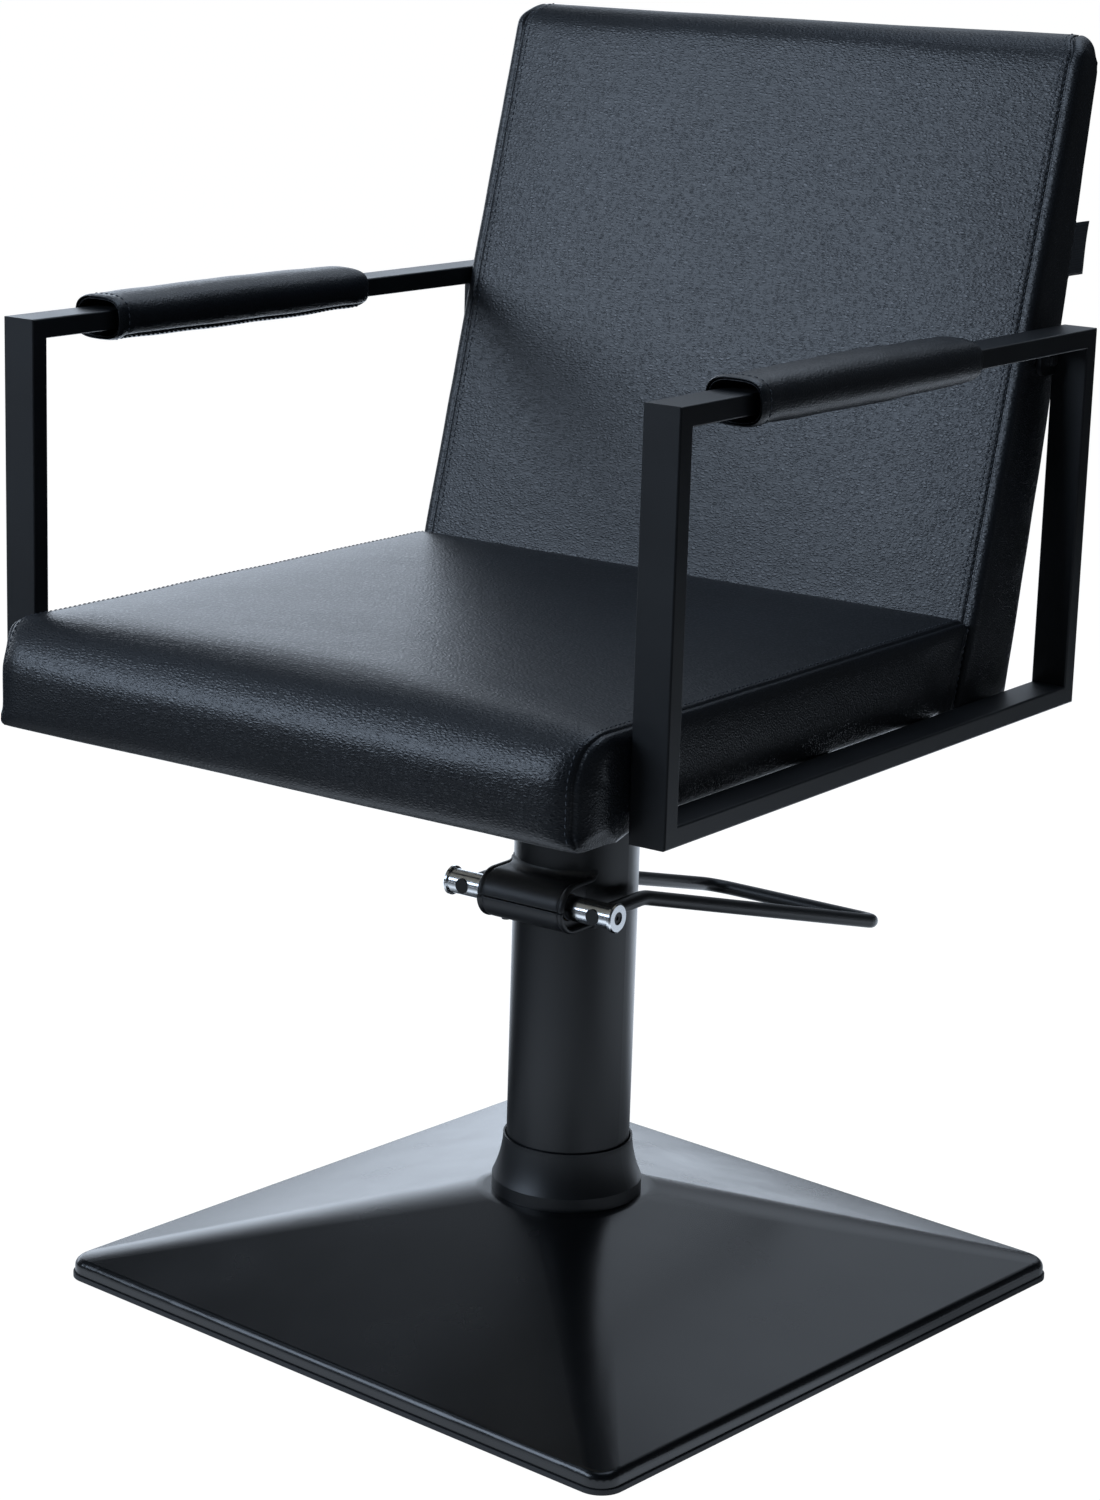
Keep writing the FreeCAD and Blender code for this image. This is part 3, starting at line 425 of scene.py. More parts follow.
def makeWovenRibbon():
    # damask-woven polyester ribbon, bare: ribs across and along, drawn 2 mm apart so that they show
    material, tree, shader = newMaterial("wovenRibbon", {"Roughness": 0.7})
    warp, weft = (addNode(tree, "ShaderNodeTexWave", {"bands_direction": way}, {"Scale": 160.0},
                          {"Vector": objectCoords(tree)}) for way in ("Z", "Y"))
    weave = addNode(tree, "ShaderNodeMath", {"operation": "MULTIPLY"},
                    links={0: warp.outputs["Fac"], 1: weft.outputs["Fac"]})
    dressShader(tree, shader, weave.outputs[0], [(0.0, "#15171b"), (0.8, "#2a2d33")],
                relief=(weave.outputs[0], 0.4, 0.3))
    return material


backLean = math.radians(15.2)        # of the back, and of the grain of its cover
seatLeather = makeLeatherette("blackLeatherette")
backLeather = makeLeatherette("blackLeatheretteBack", (-backLean, 0, 0))
framePaint = makePaint("satinBlackPowderCoat", "#0c0e11", "#101316", roughness=0.42, grit=0.9, relief=0.22)
footPaint = makePaint("satinBlackFootPaint", "#0a0c0e", "#0e1013", roughness=0.25, grit=1.6, relief=0.05)
columnPaint = makePaint("satinBlackColumnPaint", "#0a0c0f", "#0e1114", roughness=0.36, grit=1.2, relief=0.08)
blackScrew = makePaint("blackOxideScrew", "#1b1c1e", "#232527", roughness=0.4, grit=0.8, relief=0.1)
blackPlastic = makePlastic("mouldedBlackPlastic", "#121316", "#191b1e", roughness=0.42, grit=1.1)
rubberStrip = makePlastic("blackRubber", "#15161a", "#1d1f22", roughness=0.66, grit=1.8)
paleBearing = makePlastic("acetalBearing", "#c9c5b8", "#d8d5ca", roughness=0.45, grit=1.5)
chrome = makeMetal("brightChrome", "#eceeef", "#dfe1e3", roughness=0.19, lineSize=0.8, along="x")
zincSteel = makeMetal("zincPlatedSteel", "#b5b8bb", "#8f9396", roughness=0.28, lineSize=0.9, along="z")
plainSteel = makeMetal("machinedSteel", "#8d9093", "#6f7275", roughness=0.34, lineSize=0.7, along="z")
groundSteel = makeMetal("groundSteel", "#b9bcbf", "#a3a6a9", roughness=0.14, lineSize=0.6, along="z")
bushBrass = makeMetal("machinedBrass", "#b8924f", "#94713a", roughness=0.27, lineSize=0.7, along="x")
plywood = makePlywood()
thread = makeThread()
wovenRibbon = makeWovenRibbon()
slotMaterials = {
    "satin_black_steel": framePaint, "black_rubber": rubberStrip, "plain_steel": plainSteel,
    "zinc_plated_steel": zincSteel, "polished_steel": groundSteel, "chromed_steel": chrome,
    "black_steel_screw": blackScrew, "bearing_plastic": paleBearing, "bush_brass": bushBrass,
    "black_plastic": blackPlastic, "plywood": plywood, "black_leatherette": seatLeather,
    "woven_tag": wovenRibbon,
}
nodeMaterials = {"base_cover": footPaint, "column_tube": columnPaint, "cover_screws": blackScrew}
for part in frame["record"]["subparts"]:
    materials = nodes[part["node"]].data.materials
    materials.clear()
    materials.append(nodeMaterials.get(part["node"], slotMaterials[part["material_slot"]]))
print("materials on the solids")


# stitches, by Geometry Nodes along the sewn lines
stitch = {"pitch": 5.2, "length": 3.4, "radius": 0.6, "lift": 0.1, "sides": 6, "rings": 5}


def stitchTree():
    tree = bpy.data.node_groups.new("stitchRow", "GeometryNodeTree")
    tree.interface.new_socket("Geometry", in_out="INPUT", socket_type="NodeSocketGeometry")
    for name in ("Pitch", "Length", "Radius"):
        tree.interface.new_socket(name, in_out="INPUT", socket_type="NodeSocketFloat")
    tree.interface.new_socket("Thread", in_out="INPUT", socket_type="NodeSocketMaterial")
    tree.interface.new_socket("Geometry", in_out="OUTPUT", socket_type="NodeSocketGeometry")
    entry = addNode(tree, "NodeGroupInput").outputs
    curve = addNode(tree, "GeometryNodeMeshToCurve", links={"Mesh": entry["Geometry"]})
    even = addNode(tree, "GeometryNodeResampleCurve", {"mode": "LENGTH"},
                   links={"Curve": curve.outputs[0], "Length": entry["Pitch"]})
    tangent = addNode(tree, "GeometryNodeInputTangent")
    along = addNode(tree, "FunctionNodeAlignRotationToVector", {"axis": "X"},
                    links={"Vector": tangent.outputs[0]})
    # one stitch: a short round bar, fuller in the middle, that dips into the cover at both ends
    bar = addNode(tree, "GeometryNodeMeshUVSphere",
                  values={"Segments": stitch["sides"], "Rings": stitch["rings"], "Radius": 1.0})
    half = addNode(tree, "ShaderNodeMath", {"operation": "MULTIPLY"}, {1: 0.5}, {0: entry["Length"]})
    size = addNode(tree, "ShaderNodeCombineXYZ",
                   links={"X": half.outputs[0], "Y": entry["Radius"], "Z": entry["Radius"]})
    shaped = addNode(tree, "GeometryNodeTransform",
                     links={"Geometry": bar.outputs["Mesh"], "Scale": size.outputs[0]})
    rows = addNode(tree, "GeometryNodeInstanceOnPoints", links={
        "Points": even.outputs[0], "Instance": shaped.outputs[0], "Rotation": along.outputs[0]})
    real = addNode(tree, "GeometryNodeRealizeInstances", links={"Geometry": rows.outputs[0]})
    smooth = addNode(tree, "GeometryNodeSetShadeSmooth", links={"Geometry": real.outputs[0]})
    dressed = addNode(tree, "GeometryNodeSetMaterial",
                      links={"Geometry": smooth.outputs[0], "Material": entry["Thread"]})
    addNode(tree, "NodeGroupOutput", links={"Geometry": dressed.outputs[0]})
    return tree


stitchNodes = stitchTree()
stitchLines = []


def sewLine(piece, path, lift=stitch["lift"]):
    stitchLines.append(onSurface(piece, path, lift))


def makeStitches(name, body):
    verts, edges = [], []
    for line in stitchLines:
        start = len(verts)
        verts += [tuple(p) for p in line]
        edges += [(start + i, start + i + 1) for i in range(len(line) - 1)]
    mesh = bpy.data.meshes.new(name)
    mesh.from_pydata(verts, edges, [])
    piece = addObject(mesh, thread)
    modifier = piece.modifiers.new("stitchRow", "NODES")
    modifier.node_group = stitchNodes
    sizes = {"Pitch": stitch["pitch"] * mm, "Length": stitch["length"] * mm,
             "Radius": stitch["radius"] * mm, "Thread": thread}
    for item in stitchNodes.interface.items_tree:
        if item.in_out == "INPUT" and item.name in sizes:
            modifier[item.identifier] = sizes[item.name]
    bake(piece)
    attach(piece, body)
    print("stitches:", len(stitchLines), "rows,", len(piece.data.polygons), "faces")


# outlines and sewn panels
def smoothStep(a, b, x):
    t = np.clip((x - a) / (b - a), 0, 1)
    return t * t * (3 - 2 * t)


def turnedBy(angle, v):
    c, s = math.cos(angle), math.sin(angle)
    return np.array([v[0] * c - v[1] * s, v[0] * s + v[1] * c])


def roundedProfile(corners, step, fine):
    # open polyline with tangent arcs at its inner corners; gives points and the normals left of the way
    points, normals = [], []

    def put(p, n):
        if not points or np.linalg.norm(p - points[-1]) > 1e-6:
            points.append(p)
            normals.append(n)

    here = np.array(corners[0][:2], float)
    for i in range(1, len(corners)):
        there = np.array(corners[i][:2], float)
        way = (there - here) / np.linalg.norm(there - here)
        side = np.array([-way[1], way[0]])
        last = i == len(corners) - 1
        reach = 0.0
        if not last:
            after = np.array(corners[i + 1][:2], float) - there
            after /= np.linalg.norm(after)
            bend = math.acos(np.clip(way @ after, -1, 1))
            radius = corners[i][2]
            reach = radius * math.tan(bend / 2)
        end = there - way * reach
        length = np.linalg.norm(end - here)
        count = max(1, round(length / step))
        for k in range(count + 1):
            put(here + way * length * k / count, side)
        if not last:
            turn = 1 if way[0] * after[1] - way[1] * after[0] > 0 else -1
            centre = end + side * radius * turn
            steps = max(2, round(radius * bend / fine))
            for k in range(1, steps + 1):
                angle = bend * k / steps * turn
                put(centre + turnedBy(angle, end - centre), turnedBy(angle, side))
            here = there + after * reach
    return np.array(points), np.array(normals)


edgeColumns = [0.0, 3.5, 7.5, 12.5, 19.0, 27.5, 38.0]        # closer near a panel's sewn edges
stitchColumn = 2                                             # stitch rows lie between this and the edge


def panelColumns(half, spacing):
    # positions across a panel
    inner = half - edgeColumns[-1]
    count = max(2, round(2 * inner / spacing))
    middle = [-inner + 2 * inner * k / count for k in range(1, count)]
    left = [-half + d for d in edgeColumns]
    return np.array(left + middle + [-v for v in reversed(left)])


def panelEdges(panel):
    # each sewn edge of a panel: its side, its points and those of the stitch column
    return [(1, panel[:, -1], panel[:, -1 - stitchColumn]), (-1, panel[:, 0], panel[:, stitchColumn])]


def insetRow(edge, inner, inset):
    return edge + (inner - edge) * (inset / edgeColumns[stitchColumn])


def offLine(x, point, normal, drop):
    # points across the panel at one place of its outline, moved along the normal there
    return np.stack([x, point[0] + normal[0] * drop, point[1] + normal[1] * drop], 1)


def drawnStraight(rows, share):
    # the rows pulled towards the straight way from the first to the last
    straight = rows[0] + (rows[-1] - rows[0]) * np.linspace(0, 1, len(rows))[:, None]
    return rows * (1 - share) + straight * share


mirrorX = np.array([-1.0, 1.0, 1.0])


# the back cushion: front panel over the top, side panels, a rim round the rear panel
back = {
    "half": 270.0, "lean": math.tan(backLean), "footY": 140.0, "footZ": 570.0, "bottom": 497.5, "top": 1008.0,
    "footT": 75.0, "topT": 31.5, "crown": 1.0, "frontR": 24.0, "rearR": 9.0, "sideR": 5.5, "roll": 4.5,
    "cornerR": 16.0, "rimR": 3.2, "rim": 255.6, "rearSwell": 3.5, "panelTop": 972.0, "panelLap": 6.0,
    "rimTop": 14.0, "footFade": 50.0, "lineStep": 12.0, "arcStep": 6.0, "columnStep": 12.0,
    "lapParts": [0.0, 0.17, 0.34, 0.52, 0.74, 1.0],
    # the rim's last rows: out from the rear panel, in from its face, share of the way down to its top
    "rimRows": [(3.0, 0.0, 0.5), (0.4, 0.8, 0.8), (0.0, 4.0, 0.85)],
    "pressure": 2.0, "cap": 2.5, "stiffness": 12.0, "sewnReach": 80.0, "sewnHold": 0.8, "sideRoom": 271.2,
    "seamDepth": 0.7, "seamWidth": 1.3, "lapDepth": 1.5, "lapFrom": 988.0,
    "stitchInset": 6.5, "seamStitchInset": 0.9, "stitchFrom": 575.0,
    "waves": [((0.11, 0.05, 0.09), 8, 0.45), ((0.05, 0.03, 0.028), 11, 0.225)],
}


def backFrontY(z):
    return back["footY"] + (z - back["footZ"]) * back["lean"]


def backRearY(z):
    # a wedge that thins upwards, with a little swell
    share = (z - back["bottom"]) / (back["top"] - back["bottom"])
    swell = back["rearSwell"] * math.sin(math.pi * min(max(share * 1.1, 0), 1))
    return backFrontY(z) + back["footT"] + share * (back["topT"] - back["footT"]) + swell


def backShapes():
    spec = back
    lapZ = spec["panelTop"] + spec["panelLap"]
    line, normal = roundedProfile([
        (backFrontY(spec["bottom"]), spec["bottom"], 0),
        (backFrontY(spec["top"]), spec["top"], spec["frontR"]),
        (backRearY(spec["top"]), spec["top"], spec["rearR"]), (backRearY(lapZ), lapZ, 0)],
        spec["lineStep"], spec["arcStep"])
    onTop = smoothStep(0.55, 0.98, normal[:, 1])
    rearward = smoothStep(0.05, 0.9, normal[:, 0])
    footFade = smoothStep(0, spec["footFade"], line[:, 1] - spec["footZ"])
    turnAt = int(np.argmax(normal[:, 1] > 0.9))
    share = panelColumns(spec["half"], spec["columnStep"]) / spec["half"]
    front, right = [], []
    for i in range(len(line)):
        # the side panel laps on to the front as a narrow roll, and rounds the corner at the top
        roll = spec["roll"] * (1 - onTop[i])
        r = spec["sideR"] + (spec["cornerR"] - spec["sideR"]) * onTop[i]
        reach = spec["half"] - roll - r
        crown = spec["crown"] * footFade[i] * (1 - 0.7 * onTop[i]) * (1 - rearward[i])
        across = share * reach
        front.append(offLine(across, line[i], normal[i], crown * np.clip(1 - (across / reach) ** 2, 0, 1)))
        gone = np.array(spec["lapParts"]) * (roll + r * math.pi / 2)
        turn = np.clip(gone - roll, 0, None) / r
        lap = offLine(reach + np.minimum(gone, roll) + r * np.sin(turn), line[i], normal[i],
                      -r * (1 - np.cos(turn)))
        # across the side panel to the rear edge, round it and on to the rim of the rear panel
        rearZ = spec["bottom"] + (spec["panelTop"] + spec["rimTop"] - spec["bottom"]) * min(i / turnAt, 1.0)
        target = np.array([backRearY(rearZ) - spec["rimR"], rearZ])
        side = list(lap)
        for part in (0.25, 0.5, 0.75, 1.0):
            side.append([spec["half"], *(lap[-1, 1:] + (target - lap[-1, 1:]) * part)])
        for t in np.linspace(0, math.pi / 2, 4)[1:]:
            side.append([spec["half"] - spec["rimR"] * (1 - math.cos(t)),
                         target[0] + spec["rimR"] * math.sin(t), rearZ])
        over = max(0, rearZ - spec["panelTop"])
        face = target[0] + spec["rimR"]
        for outward, depth, down in spec["rimRows"]:
            side.append([spec["rim"] + outward, face - depth, rearZ - down * over])
        # past the top the side panel closes up on the rear rim
        right.append(drawnStraight(np.array(side), rearward[i]))
    right = np.array(right)
    return np.array(front), right, right * mirrorX


def makeBack():
    spec = back
    front, right, left = backShapes()
    bottom = np.concatenate([front[0], right[0][1:], left[0][:0:-1]])
    mesh = meshFromGrids("backCover", [front, right, left], [bottom])
    closeMesh(mesh)
    piece = addObject(mesh, backLeather)
    borders = [front[:, 0], front[:, -1], front[0], front[-1]]
    for side in (right, left):
        borders += [side[0], side[-1]] + [side[:, c] for c in range(-7, 0)]
    sewn = smoothStep(spec["sewnReach"], 0, spec["half"] - np.abs(meshArray(mesh)[:, 0]) * 1000)
    inflate(piece, pinWeights(mesh, borders), spec, spec["cap"] * (1 - spec["sewnHold"] * sewn))
    # the sides stay clear of the arm frame
    keepInside(piece, spec["sideRoom"])
    subdivide(piece, 2)
    addWander(piece, spec["waves"])
    for _, edge, inner in panelEdges(front):
        seam = onSurface(piece, edge)
        carve(piece, seam, spec["seamDepth"], spec["seamWidth"])
        # deeper over the top, where the front panel laps the rounded end of the side panel
        carve(piece, seam[edge[:, 2] > spec["lapFrom"]], spec["lapDepth"], spec["seamWidth"])
        seen = edge[:, 2] > spec["stitchFrom"]
        sewLine(piece, insetRow(edge, inner, spec["stitchInset"])[seen])
        sewLine(piece, insetRow(edge, inner, spec["seamStitchInset"])[seen], 0.0)
    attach(piece, "column")
    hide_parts("back_cushion")
    print("back cushion:", len(piece.data.polygons), "faces")


# the seat cushion: top panel over the front, two side panels sewn to it
seat = {
    "half": 271.5, "front": -386.0, "edgeZ": 570.0, "lipZ": 490.0, "skirtZ": 497.5, "lipBack": -346.5,
    "frontR": 38.0, "underR": 13.0, "creaseR": 7.0, "lipR": 2.0, "crown": 4.0, "frontCrown": 0.5,
    "sideR": 12.0, "cornerR": 32.0, "seamAngleTop": 26.0, "seamAngleFront": 40.0,
    "backGap": 3.4, "rearFade": 60.0, "sideTuck": 1.6, "sideRows": 7,
    "lineStep": 11.5, "arcStep": 7.0, "columnStep": 12.0,
    # where the rows of the side panels end along their bottom edge
    "rearFoot": 13.0, "creaseFoot": 36.0, "topFoot": -300.0, "frontFoot": -336.0, "lipFoot": 5.0,
    "lipRise": 1.5,
    "pressure": 2.2, "cap": 4.5, "stiffness": 12.0,
    "frontFade": (-330.0, -375.0), "frontHold": 0.7, "sewnReach": 70.0, "sewnHold": 0.6,
    "sideRoom": 271.4, "sideSwell": 2.6, "swellY": (-316.0, -260.0), "swellZ": (505.0, 530.0),
    "seamDepth": 1.5, "seamWidth": 1.5, "stitchInset": 5.0, "stitchFrom": 566.0,
    "uprightInset": 10.0, "uprightSeam": 4.5, "uprightDepth": 1.2, "uprightWidth": 1.8, "uprightEnds": 8.0,
    "waves": [((0.16, 0.07, 0.07), 3, 0.45), ((0.06, 0.03, 0.03), 5, 0.198)],
}


def seatShapes():
    spec = seat
    rearY = backFrontY(spec["edgeZ"]) - spec["backGap"]
    lowY = backFrontY(spec["skirtZ"]) - spec["backGap"]
    # from the hidden rear up into the crease, forward over the top, down round the front and under the lip
    line, normal = roundedProfile([
        (lowY, spec["skirtZ"], 0), (rearY, spec["edgeZ"], spec["creaseR"]),
        (spec["front"], spec["edgeZ"], spec["frontR"]), (spec["front"], spec["lipZ"], spec["underR"]),
        (spec["lipBack"], spec["lipZ"], spec["lipR"]), (spec["lipBack"], spec["skirtZ"], 0)],
        spec["lineStep"], spec["arcStep"])
    normal = -normal
    gone = np.concatenate([[0], np.cumsum(np.linalg.norm(np.diff(line, axis=0), axis=1))])
    onTop = np.where(normal[:, 1] > 0.99)[0]
    onFront = np.where(normal[:, 0] < -0.99)[0]
    feet = np.interp(gone, [0, gone[onTop[0]], gone[onTop[-1]], gone[onFront[0]], gone[-1]],
                     [lowY - spec["rearFoot"], lowY - spec["creaseFoot"], spec["topFoot"], spec["frontFoot"],
                      spec["lipBack"] - spec["lipFoot"]])
    lipLow = spec["lipZ"] + spec["lipRise"]
    low = np.interp(gone, [0, gone[onTop[-1]], gone[onFront[0]], gone[onFront[-1]], gone[-1]],
                    [spec["skirtZ"], spec["skirtZ"], lipLow, lipLow, spec["skirtZ"]])
    facing = smoothStep(0.25, 0.95, -normal[:, 0])          # 0 on top, 1 on the front
    under = smoothStep(0.1, 0.8, -normal[:, 1])             # 1 below the lip
    past = np.maximum.accumulate(np.where(np.arange(len(line)) > onFront[-1], under, 0))
    radius = spec["sideR"] + (spec["cornerR"] - spec["sideR"]) * facing * (1 - under * 0.6)
    angle = np.radians(spec["seamAngleTop"] + (spec["seamAngleFront"] - spec["seamAngleTop"]) * facing)
    rearFade = smoothStep(0.0, spec["rearFade"], rearY - line[:, 0])
    crown = (spec["crown"] * (1 - facing) + spec["frontCrown"] * facing) * (1 - under) * rearFade
    share = panelColumns(spec["half"], spec["columnStep"]) / spec["half"]
    top, right = [], []
    for i in range(len(line)):
        r, a = radius[i], angle[i]
        flat = spec["half"] - r
        reach = flat + r * a                                 # length from the middle to the seam
        across = share * reach
        turned = np.clip(np.abs(across) - flat, 0, None) / r
        x = np.sign(across) * (np.minimum(np.abs(across), flat) + r * np.sin(turned))
        drop = -r * (1 - np.cos(turned)) + crown[i] * np.clip(1 - (across / reach) ** 2, 0, 1) ** 0.8
        top.append(offLine(x, line[i], normal[i], drop))
        turned = np.linspace(a, math.pi / 2, 5)
        side = list(offLine(flat + r * np.sin(turned), line[i], normal[i], -r * (1 - np.cos(turned))))
        # from the end of the rounding down to the hidden bottom edge
        _, endY, endZ = side[-1]
        for k in range(1, spec["sideRows"] + 1):
            u = k / spec["sideRows"]
            side.append([spec["half"] - spec["sideTuck"] * u * u, endY + (feet[i] - endY) * u,
                         endZ + (low[i] - endZ) * u])
        # below the front the side panel closes straight across
        right.append(drawnStraight(np.array(side), past[i]))
    right = np.array(right)
    return np.array(top), right, right * mirrorX


def makeSeat():
    spec = seat
    top, right, left = seatShapes()
    mesh = meshFromGrids("seatCover", [top, right, left])
    closeMesh(mesh)
    piece = addObject(mesh, seatLeather)
    borders = [top[:, 0], top[:, -1], top[0], top[-1]]
    for side in (right, left):
        borders += [side[:, -1], side[:, -2], side[0], side[-1]]
    co = meshArray(mesh) * 1000
    forward = smoothStep(*spec["frontFade"], co[:, 1])
    sewn = smoothStep(spec["sewnReach"], 0, spec["half"] - np.abs(co[:, 0]))
    cap = spec["cap"] * (1 - spec["frontHold"] * forward) * (1 - spec["sewnHold"] * sewn)
    inflate(piece, pinWeights(mesh, borders), spec, cap)
    # the sides stay clear of the arm posts and swell between them
    co = meshArray(piece.data) * 1000
    between = smoothStep(*spec["swellY"], co[:, 1]) * smoothStep(*spec["swellZ"], co[:, 2])
    keepInside(piece, spec["sideRoom"] + spec["sideSwell"] * between)
    subdivide(piece, 2)
    addWander(piece, spec["waves"])
    seen = (top[:, 0, 2] > spec["stitchFrom"]) | (top[:, 0, 1] < 0)
    heights = np.linspace(spec["skirtZ"] + spec["uprightEnds"], spec["edgeZ"] - spec["uprightEnds"], 12)
    for side, edge, inner in panelEdges(top):
        carve(piece, onSurface(piece, edge), spec["seamDepth"], spec["seamWidth"])
        sewLine(piece, insetRow(edge, inner, spec["stitchInset"])[seen])
        # the upright seam where the side panel meets the back's
        upright = np.stack([np.full(len(heights), side * spec["half"]),
                            backFrontY(heights) - spec["uprightInset"], heights], 1)
        seam = onSurface(piece, upright + [0, spec["uprightSeam"], 0])
        carve(piece, seam, spec["uprightDepth"], spec["uprightWidth"])
        sewLine(piece, upright)
    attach(piece, "column")
    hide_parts("seat_cushion")
    print("seat cushion:", len(piece.data.polygons), "faces")


makeSeat()
makeBack()


# the rear panel: a thin padded board covered in the same leatherette
rear = {
    "half": 255.0, "bottom": 496.6, "top": 971.0, "crown": 2.2, "edgeR": 4.0, "wall": 2.5, "columnStep": 16.0,
    "way": (0.0, 1.0, -0.2), "waves": [((0.12, 0.05, 0.08), 21, 0.4)],
}


def makeRearPanel():
    spec = rear
    height = spec["top"] - spec["bottom"]
    xs = panelColumns(spec["half"], spec["columnStep"])
    zs = spec["bottom"] + (panelColumns(height / 2, spec["columnStep"]) + height / 2)
    way = np.array(spec["way"]) / np.linalg.norm(spec["way"])
    rows = []
    for z in zs:
        row = []
        for x in xs:
            # rolled down at its edges, with a flat crown
            near = min(spec["half"] - abs(x), z - spec["bottom"], spec["top"] - z)
            short = max(0, spec["edgeR"] - near)
            roll = spec["edgeR"] - math.sqrt(max(0, spec["edgeR"] ** 2 - short ** 2))
            across, upward = x / spec["half"], (2 * z - spec["top"] - spec["bottom"]) / height
            lift = spec["crown"] * (1 - across ** 4) * (1 - upward ** 4) - roll
            row.append(np.array([x, backRearY(z), z]) + way * lift)
        rows.append(row)
    mesh = meshFromGrids("rearPanelCover", [np.array(rows)])
    turnOutward(mesh, (0, back["footY"], back["footZ"]))
    piece = addObject(mesh, backLeather)
    giveWall(piece, spec["wall"])
    subdivide(piece, 1)
    addWander(piece, spec["waves"])
    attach(piece, "column")
    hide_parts("back_rear_panel")
    print("rear panel:", len(piece.data.polygons), "faces")


makeRearPanel()


# the arm sleeves: padded tubes closed underneath, hemmed at both ends
sleeve = {
    "front": -245.0, "length": 302.0, "centreX": 287.0, "centreZ": 780.5, "w": 49.0, "h": 37.0, "sides": 40,
    "underFlat": 0.93,         # the underside is drawn flat to its closing seam
    # rings: distance from their end of the sleeve, change of width and of height, roundness
    "frontRings": [(0.0, -2.5, -3.0, 3.2), (2.0, -1.0, -1.5, 3.2), (5.5, -0.8, -1.2, 3.1),
                   (9.0, -2.0, -2.2, 3.0), (12.5, -0.8, -1.0, 2.8)],
    "rearRings": [(-17.0, -1.0, -1.0, 2.6), (-10.0, -1.8, -2.2, 2.7), (-4.5, -3.4, -4.4, 3.0),
                  (-1.4, -5.6, -7.0, 3.1), (0.0, -8.6, -10.4, 3.2)],
    "bodyFrom": 20.0, "bodyTo": -26.0, "bodyRings": 28, "bodyRound": 2.5, "bodyIn": -1.0,
    "swellW": 1.6, "swellH": 2.0,
    # the folded hem at the front with the lining that runs back to the bar, and the rear end turned in
    "hemRings": [(0.0, -2.5, -3.0), (-1.1, -3.1, -3.6), (-1.2, -4.1, -4.6), (0.6, -4.8, -5.3),
                 (2.2, -5.3, -5.8), (2.2, -6.0, -6.5), (0.7, -6.5, -7.0), (0.1, -7.2, -7.7),
                 (0.5, -8.2, -8.7), (3.4, -8.9, -9.4), (16.0, -9.4, -9.8), (19.0, -14.0, -17.0)],
    "tailRings": [(0.0, -8.6, -10.4), (-0.2, -11.6, -14.0), (-2.0, -13.2, -17.0), (-12.0, -14.5, -18.6)],
    "liningRound": 3.2, "hemRing": 3,
    "pressure": 3.0, "cap": 3.0, "stiffness": 10.0,
    "seamColumn": 5, "seamDepth": 2.0, "seamWidth": 1.7, "stitchColumn": 4,
    "calmEnds": 30.0, "waves": [((0.04, 0.05, 0.04), 31, 0.81), ((0.02, 0.03, 0.02), 41, 0.315)],
}


def sleeveRing(hand, distance, wider, higher, power):
    # a soft rounded box; starts and ends at the middle of the underside
    spec = sleeve
    angles = np.linspace(-math.pi / 2, 1.5 * math.pi, spec["sides"] + 1)
    c, s = np.cos(angles), np.sin(angles)
    x = np.sign(c) * np.abs(c) ** (2 / power) * (spec["w"] + wider) / 2
    z = np.sign(s) * np.abs(s) ** (2 / power) * (spec["h"] + higher) / 2
    z[z < 0] *= spec["underFlat"]
    y = np.full(len(x), spec["front"] + distance)
    return np.stack([x + hand * spec["centreX"], y, z + spec["centreZ"]], 1)


def makeSleeve(name, hand, node):
    spec = sleeve
    end = spec["length"]
    rings = list(spec["frontRings"])
    for t in np.linspace(0, 1, spec["bodyRings"]):
        distance = spec["bodyFrom"] + t * (end + spec["bodyTo"] - spec["bodyFrom"])
        swell = math.sin(math.pi * t) ** 0.7
        rings.append((distance, spec["bodyIn"] + spec["swellW"] * swell,
                      spec["bodyIn"] + spec["swellH"] * swell, spec["bodyRound"]))
    rings += [(end + d, *ring) for d, *ring in spec["rearRings"]]
    outer = np.array([sleeveRing(hand, *ring) for ring in rings])
    hem = np.array([sleeveRing(hand, *ring, spec["liningRound"]) for ring in spec["hemRings"]])
    tail = np.array([sleeveRing(hand, end + d, *ring, spec["liningRound"]) for d, *ring in spec["tailRings"]])
    mesh = meshFromGrids(name, [outer, hem, tail])
    turnOutward(mesh, (hand * spec["centreX"], spec["front"] + end / 2, spec["centreZ"]))
    piece = addObject(mesh, seatLeather)
    fixed = [*outer[:spec["hemRing"] + 1], *outer[-3:], outer[:, 0], *hem, *tail]
    inflate(piece, pinWeights(mesh, fixed), spec, spec["cap"])
    subdivide(piece, 2)
    along = meshArray(piece.data)[:, 1] * 1000 - spec["front"]
    ends = smoothStep(0.0, spec["calmEnds"], np.minimum(along, end - along))
    addWander(piece, [(size, seed + hand, height) for size, seed, height in spec["waves"]], ends)
    # closed along the lower edge that faces the sitter
    seam = onSurface(piece, outer[spec["hemRing"]:-2, -spec["seamColumn"] * hand])
    carve(piece, seam, spec["seamDepth"], spec["seamWidth"])
    sewLine(piece, outer[spec["hemRing"] + 1:-3, -spec["stitchColumn"] * hand])
    sewLine(piece, outer[spec["hemRing"]])
    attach(piece, "column")
    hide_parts(node)
    print("sleeve:", name, len(piece.data.polygons), "faces")


makeSleeve("leftSleeve", 1, "left_arm_sleeve")
makeSleeve("rightSleeve", -1, "right_arm_sleeve")


